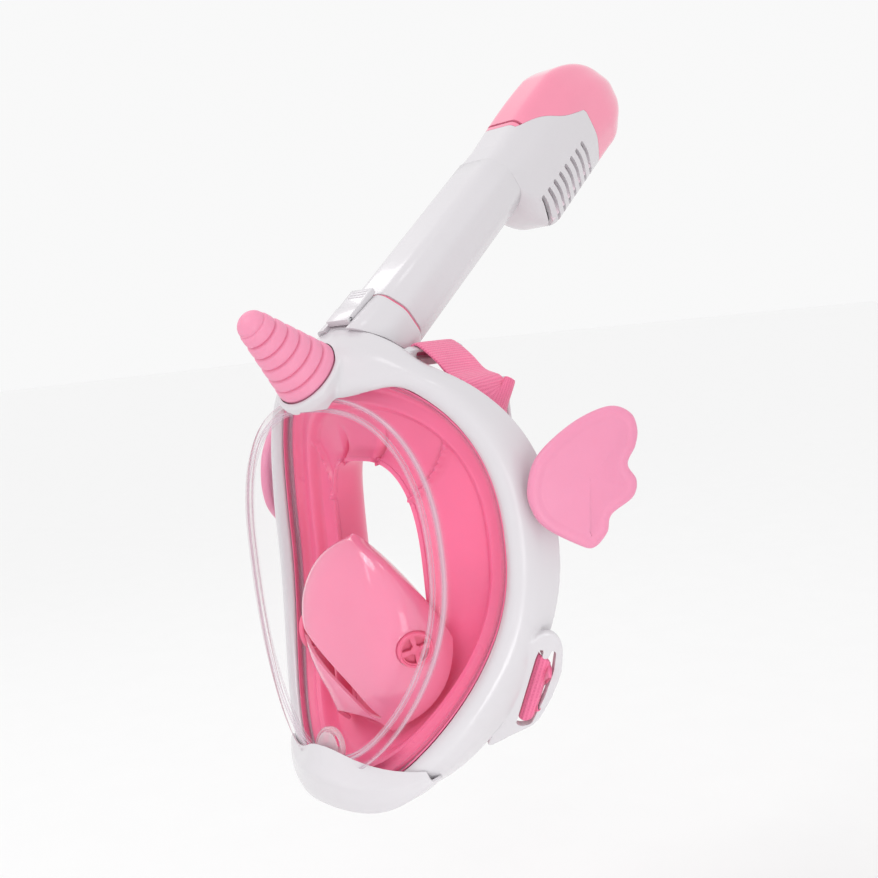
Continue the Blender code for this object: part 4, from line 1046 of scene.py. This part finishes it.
def vent_housing():
    section = unit_section(6)
    start, seam = (lambda q: TUBE_TOP + 0.05), (lambda q: cap_seam(q) - GAP / 4)
    outer, inner = head_grid(start, seam, 44, section), head_grid(start, seam, 44, section, TUBE_WALL)
    made = make("housing", *shell_solid(outer, inner), WHITE, sharp=35)
    slots = []
    along = Vector(TUBE_FRONT) - Vector(TUBE_AXIS) * 0.22
    across = Vector(TUBE_AXIS) + Vector(TUBE_FRONT) * 0.22
    outline = rounded(((-20, -1.4), (10.5, -1.4), (10.5, 1.4), (-20, 1.4)), 1.35, 6, 2)
    for k in range(VENT_SLOTS):
        for side, word in SIDES:
            centre = Vector(F(VENT_FIRST + k * VENT_PITCH - 2.0, 14.5 * side, -29))
            rows = []
            for h in (-6.5, 9):
                rows.append([centre + along.normalized() * a + across.normalized() * b + Vector((h * side, 0, 0))
                             for a, b in outline])
            slots.append(make("vent_%d_%s" % (k, word), *loft_solid(rows)))
    boolean(made, "DIFFERENCE", slots, 35)
    settle(made, "snorkel", ["vent_housing"])
    for side, word in SIDES:
        screen = block("vent_screen_" + word, F(141, 12.0 * side, -27), TUBE_AXES, (0.8, 52, 20),
                       VENT_PINK)
        settle(bevelled(screen, 0.2, 2), "snorkel", ["vent_housing"])


def top_cap():
    section = unit_section(6)
    seam, end = (lambda q: cap_seam(q) + GAP / 4), (lambda q: HEAD_END - 0.4)
    outer = np.array(head_grid(seam, end, 60, section, bunch=1.9)[::-1])
    inner = np.array(head_grid(seam, lambda q: HEAD_END - 2.6, 60, section, TUBE_WALL, bunch=1.9)[::-1])
    made = make("cap", *shell_solid(outer, inner, pole=True), CAP, sharp=35)
    mouth = plate("mouth", rounded(((-0.9, -15.5), (0.9, -13.0), (0.9, 13.0), (-0.9, 15.5)), 0.8, 4, 3),
                  F(129.5, 0, 12.0), TUBE_AXIS, SIDEWAYS, -9, 9)
    boolean(made, "DIFFERENCE", [mouth], 35)
    settle(made, "snorkel", ["top_cap"])


def float_valve():
    seat = block("seat_plate", F(167.5, 0, -24), TUBE_AXES, (22, 2.4, 20), RUBBER)
    bevelled(seat, 0.5)
    boolean(seat, "DIFFERENCE", [disc("seat_hole", 6.5, -5, 5, F(167.5, 0, FLOAT_CENTRE_N), TUBE_AXIS)])
    settle(seat, "snorkel", ["float_seat"])
    shelf = block("shelf_plate", F(119, 0, -23), TUBE_AXES, (22, 2.2, 20), INNER_WHITE)
    bevelled(shelf, 0.4)
    boolean(shelf, "DIFFERENCE", [disc("shelf_hole", 5.0, -5, 5, F(119, 0, FLOAT_CENTRE_N), TUBE_AXIS)])
    settle(shelf, "snorkel", ["float_shelf"])
    profile = [(0, -14), (8.6, -14), (9.6, -13.4), (10, -12.6), (10, 9.2), (9.7, 10.6), (8.6, 12.5), (7.8, 15.5),
               (7.2, 16.4), (6.0, 17.0), (3, 17.4), (0, 17.5)]
    made = turned("float", profile, F(134.8, 0, FLOAT_CENTRE_N), TUBE_AXIS, INNER_WHITE, 64)
    settle(made, "float", ["float_body"])


def socket():
    """The sleeve on the brow, with a soft top edge and a flared foot."""
    section = unit_section()
    rows = []
    for s, grow in ((-44, 3.4), (-34, 3.1), (-26, 2.8), (-20, 2.4), (-14, 2.0), (SEAM - 4.0, 1.6), (SEAM - 2.6, 1.4),
                    (SEAM - 2.15, 1.1), (SEAM - 2.0, 0.6)):
        rows.append(tube_row(s, grow, section))
    made = make("socket", *loft_solid(rows), WHITE, sharp=35)
    level = Vector((0, 34.0, -17.9))
    down = Vector(SIDEWAYS).cross(level).normalized()
    if down.z > 0:
        down = -down
    middle = Vector((0, 35.0, 89.95)) + down * 22.0
    tools = [make("bore", *loft_solid([oval(s, 14.6, 12.1) for s in (-60, 5)])),
             block("bay", F(-19, 0, SOCKET_FRONT + 2.0), TUBE_AXES, (14.8, 50, 6.8)),
             block("rear_notch", F(-5, 0, -19), TUBE_AXES, (60, 22, 14)),
             block("floor", middle, (SIDEWAYS, level, down), (80, 120, 40))]
    boolean(made, "DIFFERENCE", tools, 35)
    bevelled(made, 0.3, 2, 35)
    settle(made, "mask", ["snorkel_socket"])


def latch():
    """The latch: a plate with a step across it and finger ribs at its free end."""
    height = SOCKET_FRONT + 1.2
    made = block("latch_plate", F(-18.5, 0, height), TUBE_AXES, (14, 22, 2.9), WHITE)
    step = block("latch_step", F(-13.6, 0, height + 1.9), TUBE_AXES, (16, 13.4, 1.6))
    boolean(made, "DIFFERENCE", [step])
    for k in range(3):
        rib = block("rib_%d" % k, F(-9.4 - 1.9 * k, 0, height + 0.9), TUBE_AXES, (9.5, 0.8, 1.0))
        boolean(made, "UNION", [rib])
    bevelled(made, 0.45, 3, 35)
    pin_at = F(-27.5, 0, height)
    boolean(made, "DIFFERENCE", [disc("pin_hole", 1.0, -15, 15, pin_at, SIDEWAYS, steps=32)], 35)
    settle(made, "latch", ["snorkel_latch"])
    settle(disc("pin", 0.65, -6.8, 6.8, pin_at, SIDEWAYS, STEEL, 24, 0.15), "mask", ["latch_pin"])


# ---------------------------------------------------------------- straps

def webbing(name, node, line, across, widths, thickness):
    """A band of webbing. line and across give its middle and its width direction at each step of one half."""
    half = len(line)
    outline = rounded(((-1, -1), (1, -1), (1, 1), (-1, 1)), (0.5, 0.5, 0.5, 0.5), 4, 6)
    line = [Vector(p) for p in line]
    rows = []
    for k, here in enumerate(line):
        ahead = line[min(k + 1, half - 1)] - line[max(k - 1, 0)]
        if k == half - 1:
            ahead = Vector((-1, 0, 0))
        ahead.normalize()
        side = Vector(across[k])
        side = (side - ahead * side.dot(ahead)).normalized()
        up = side.cross(ahead).normalized()
        rows.append([here + side * a * widths[k] / 2 + up * b * (thickness / 2) for a, b in outline])
    other = [[Vector((-p.x, p.y, p.z)) for p in row] for row in rows[:-1]]
    rows = rows + other[::-1]
    length = [0.0]
    middles = line + [Vector((-p.x, p.y, p.z)) for p in line[:-1]][::-1]
    for a, b in zip(middles, middles[1:]):
        length.append(length[-1] + (b - a).length)
    uv = [(length[i], a * widths[-1] / 2) for i in range(len(rows)) for a, b in outline]
    made = make(name, *loft_solid(rows), WEBBING, uv=uv, sharp=60)
    settle(made, "mask", [node])


def turning(first, last, start, span):
    """The width direction along a strap: it turns from first to last over a part of the length."""
    return [first.lerp(last, ease((k / STRAP_STEPS - start) / span)) for k in range(STRAP_STEPS)]


def straps():
    """Both straps fold through their lugs and run round the back of the head."""
    up, side = Vector(UPPER_LUG_UP).normalized(), Vector((0.912, 0, -0.41)).normalized()
    centre = Vector(UPPER_LUG_CENTRE)
    fold = [tuple(centre + side * a + up * b) for a, b in UPPER_FOLD]
    line = even(catmull(fold + list(UPPER_BEND) + list(UPPER_STRAP[1:]), 700), STRAP_STEPS)
    across = turning(Vector((0, 1, 0)), Vector((0, 0, 1)), 0.36, 0.22)
    webbing("strap_upper", "upper_strap", line, across, [UPPER_STRAP_WIDTH] * STRAP_STEPS, STRAP_THICKNESS)
    along = Vector(LOWER_LUG_ALONG).normalized()
    out = Vector(LOWER_LUG_OUT).normalized()
    out = (out - along * out.dot(along)).normalized()
    normal = along.cross(out)
    centre = Vector(LOWER_LUG_CENTRE) + along * 1.5
    fold = [tuple(centre + out * a + normal * b) for a, b in LOWER_FOLD]
    line = even(catmull(fold + list(LOWER_STRAP), 700), STRAP_STEPS)
    across = turning(along, Vector((0, 0, -1)), 0.18, 0.16)
    widths = []
    for k in range(STRAP_STEPS):
        widths.append(LOWER_STRAP_WIDTH + LUG_EXTRA_WIDTH * (1 - ease((k / STRAP_STEPS - 0.07) / 0.11)))
    webbing("strap_lower", "lower_strap", line, across, widths, STRAP_THICKNESS)


def sliders():
    for side, word in SIDES:
        for level, route, width in (("upper", UPPER_STRAP[:2], UPPER_STRAP_WIDTH),
                                    ("lower", LOWER_STRAP[:2], LOWER_STRAP_WIDTH)):
            low, high = (Vector(mirrored(p, side)) for p in route)
            direction = (high - low).normalized()
            across = Vector((0, 0, 1))
            across = (across - direction * across.dot(direction)).normalized()
            axes = (across, direction.cross(across), direction)
            name = "slider_%s_%s" % (level, word)
            loop = block("loop_%s_%s" % (level, word), (low + high) / 2, axes, (width + 6, 6.4, 8), WHITE)
            bevelled(loop, 1.4, 4)
            eye = block("eye", (low + high) / 2, axes, (width + 1.8, STRAP_THICKNESS + 2.0, 20))
            boolean(loop, "DIFFERENCE", [eye])
            settle(bevelled(loop, 0.25, 2), name, [name])


# ---------------------------------------------------------------- stage

FLOOR_LEVEL, FLOOR_REACH = -0.30, 30.0
SKY_STRENGTH, SUN_ENERGY = 0.945, 0.50
MASK_MIDDLE = (0, 0.04, 0.05)
SOFTBOXES = (("strip", (-0.35, -0.85, 0.75), MASK_MIDDLE, (0.10, 0.8), 0.5),
             ("right", (0.75, -0.38, -0.02), MASK_MIDDLE, (0.30, 0.35), 0.6),
             ("overhead", (0.31, -0.05, 1.05), MASK_MIDDLE, (0.20, 0.20), 0.35),
             ("left_high", (-0.75, 0.12, 0.90), MASK_MIDDLE, (0.25, 0.35), 0.7),
             ("low", (0.42, -0.26, -0.22), (0.02, 0, -0.04), (0.26, 0.10), 0.35))


def aim(obj, place, target):
    obj.location = place
    obj.rotation_euler = (Vector(target) - Vector(place)).to_track_quat("-Z", "Y").to_euler()


def area_light(name, place, target, size, power):
    data = bpy.data.lights.new(name, "AREA")
    data.shape = "RECTANGLE"
    data.size, data.size_y = size
    data.energy = power
    obj = bpy.data.objects.new(name, data)
    obj.visible_camera = False
    bpy.context.scene.collection.objects.link(obj)
    aim(obj, place, target)


def stage():
    floor_material = finish_of("floor", (0.856, 0.856, 0.856), 0.9, vary=0.004, bump=0.0)
    corners = [(x * FLOOR_REACH, y * FLOOR_REACH, 0) for x, y in ((-1, -1), (1, -1), (1, 1), (-1, 1))]
    mesh = bpy.data.meshes.new("floor")
    mesh.from_pydata(corners, [], [(0, 1, 2, 3)])
    mesh.materials.append(floor_material)
    floor = bpy.data.objects.new("floor", mesh)
    floor.location = (0, 0, FLOOR_LEVEL)
    bpy.context.scene.collection.objects.link(floor)
    world = bpy.data.worlds.new("studio")
    world.use_nodes = True
    sky = world.node_tree.nodes["Background"]
    sky.inputs["Color"].default_value = (1, 1, 1, 1)
    sky.inputs["Strength"].default_value = SKY_STRENGTH
    bpy.context.scene.world = world
    bpy.context.scene.view_settings.view_transform = "Standard"
    sun = bpy.data.lights.new("key", "SUN")
    sun.energy = SUN_ENERGY
    sun.angle = math.radians(25)
    lamp = bpy.data.objects.new("key", sun)
    bpy.context.scene.collection.objects.link(lamp)
    aim(lamp, (-0.25, -0.75, 1.1), MASK_MIDDLE)
    for name, place, target, size, power in SOFTBOXES:
        area_light(name, place, target, size, power)


CAMERA_PLACE = (0.3508, -0.2954, 0.0923)


def camera():
    data = bpy.data.cameras.new("camera")
    data.lens = 43.31
    data.sensor_width = 36.0
    data.clip_start = 0.01
    right, back = Vector((0.729, 0.677, -0.103)), Vector((0.685, -0.722, 0.100))
    back.normalize()
    right = (right - back * right.dot(back)).normalized()
    up = back.cross(right)
    obj = bpy.data.objects.new("camera", data)
    turn = Matrix((right, up, back)).transposed().to_4x4()
    obj.matrix_world = Matrix.Translation(CAMERA_PLACE) @ turn
    bpy.context.scene.collection.objects.link(obj)
    bpy.context.scene.camera = obj


camera()
stage()
front_frame()
lens()
face_skirt()
nose_pocket()
valves()
chin_cover()
horn()
ears()
socket()
latch()
snorkel_tube()
vent_housing()
top_cap()
float_valve()
straps()
sliders()
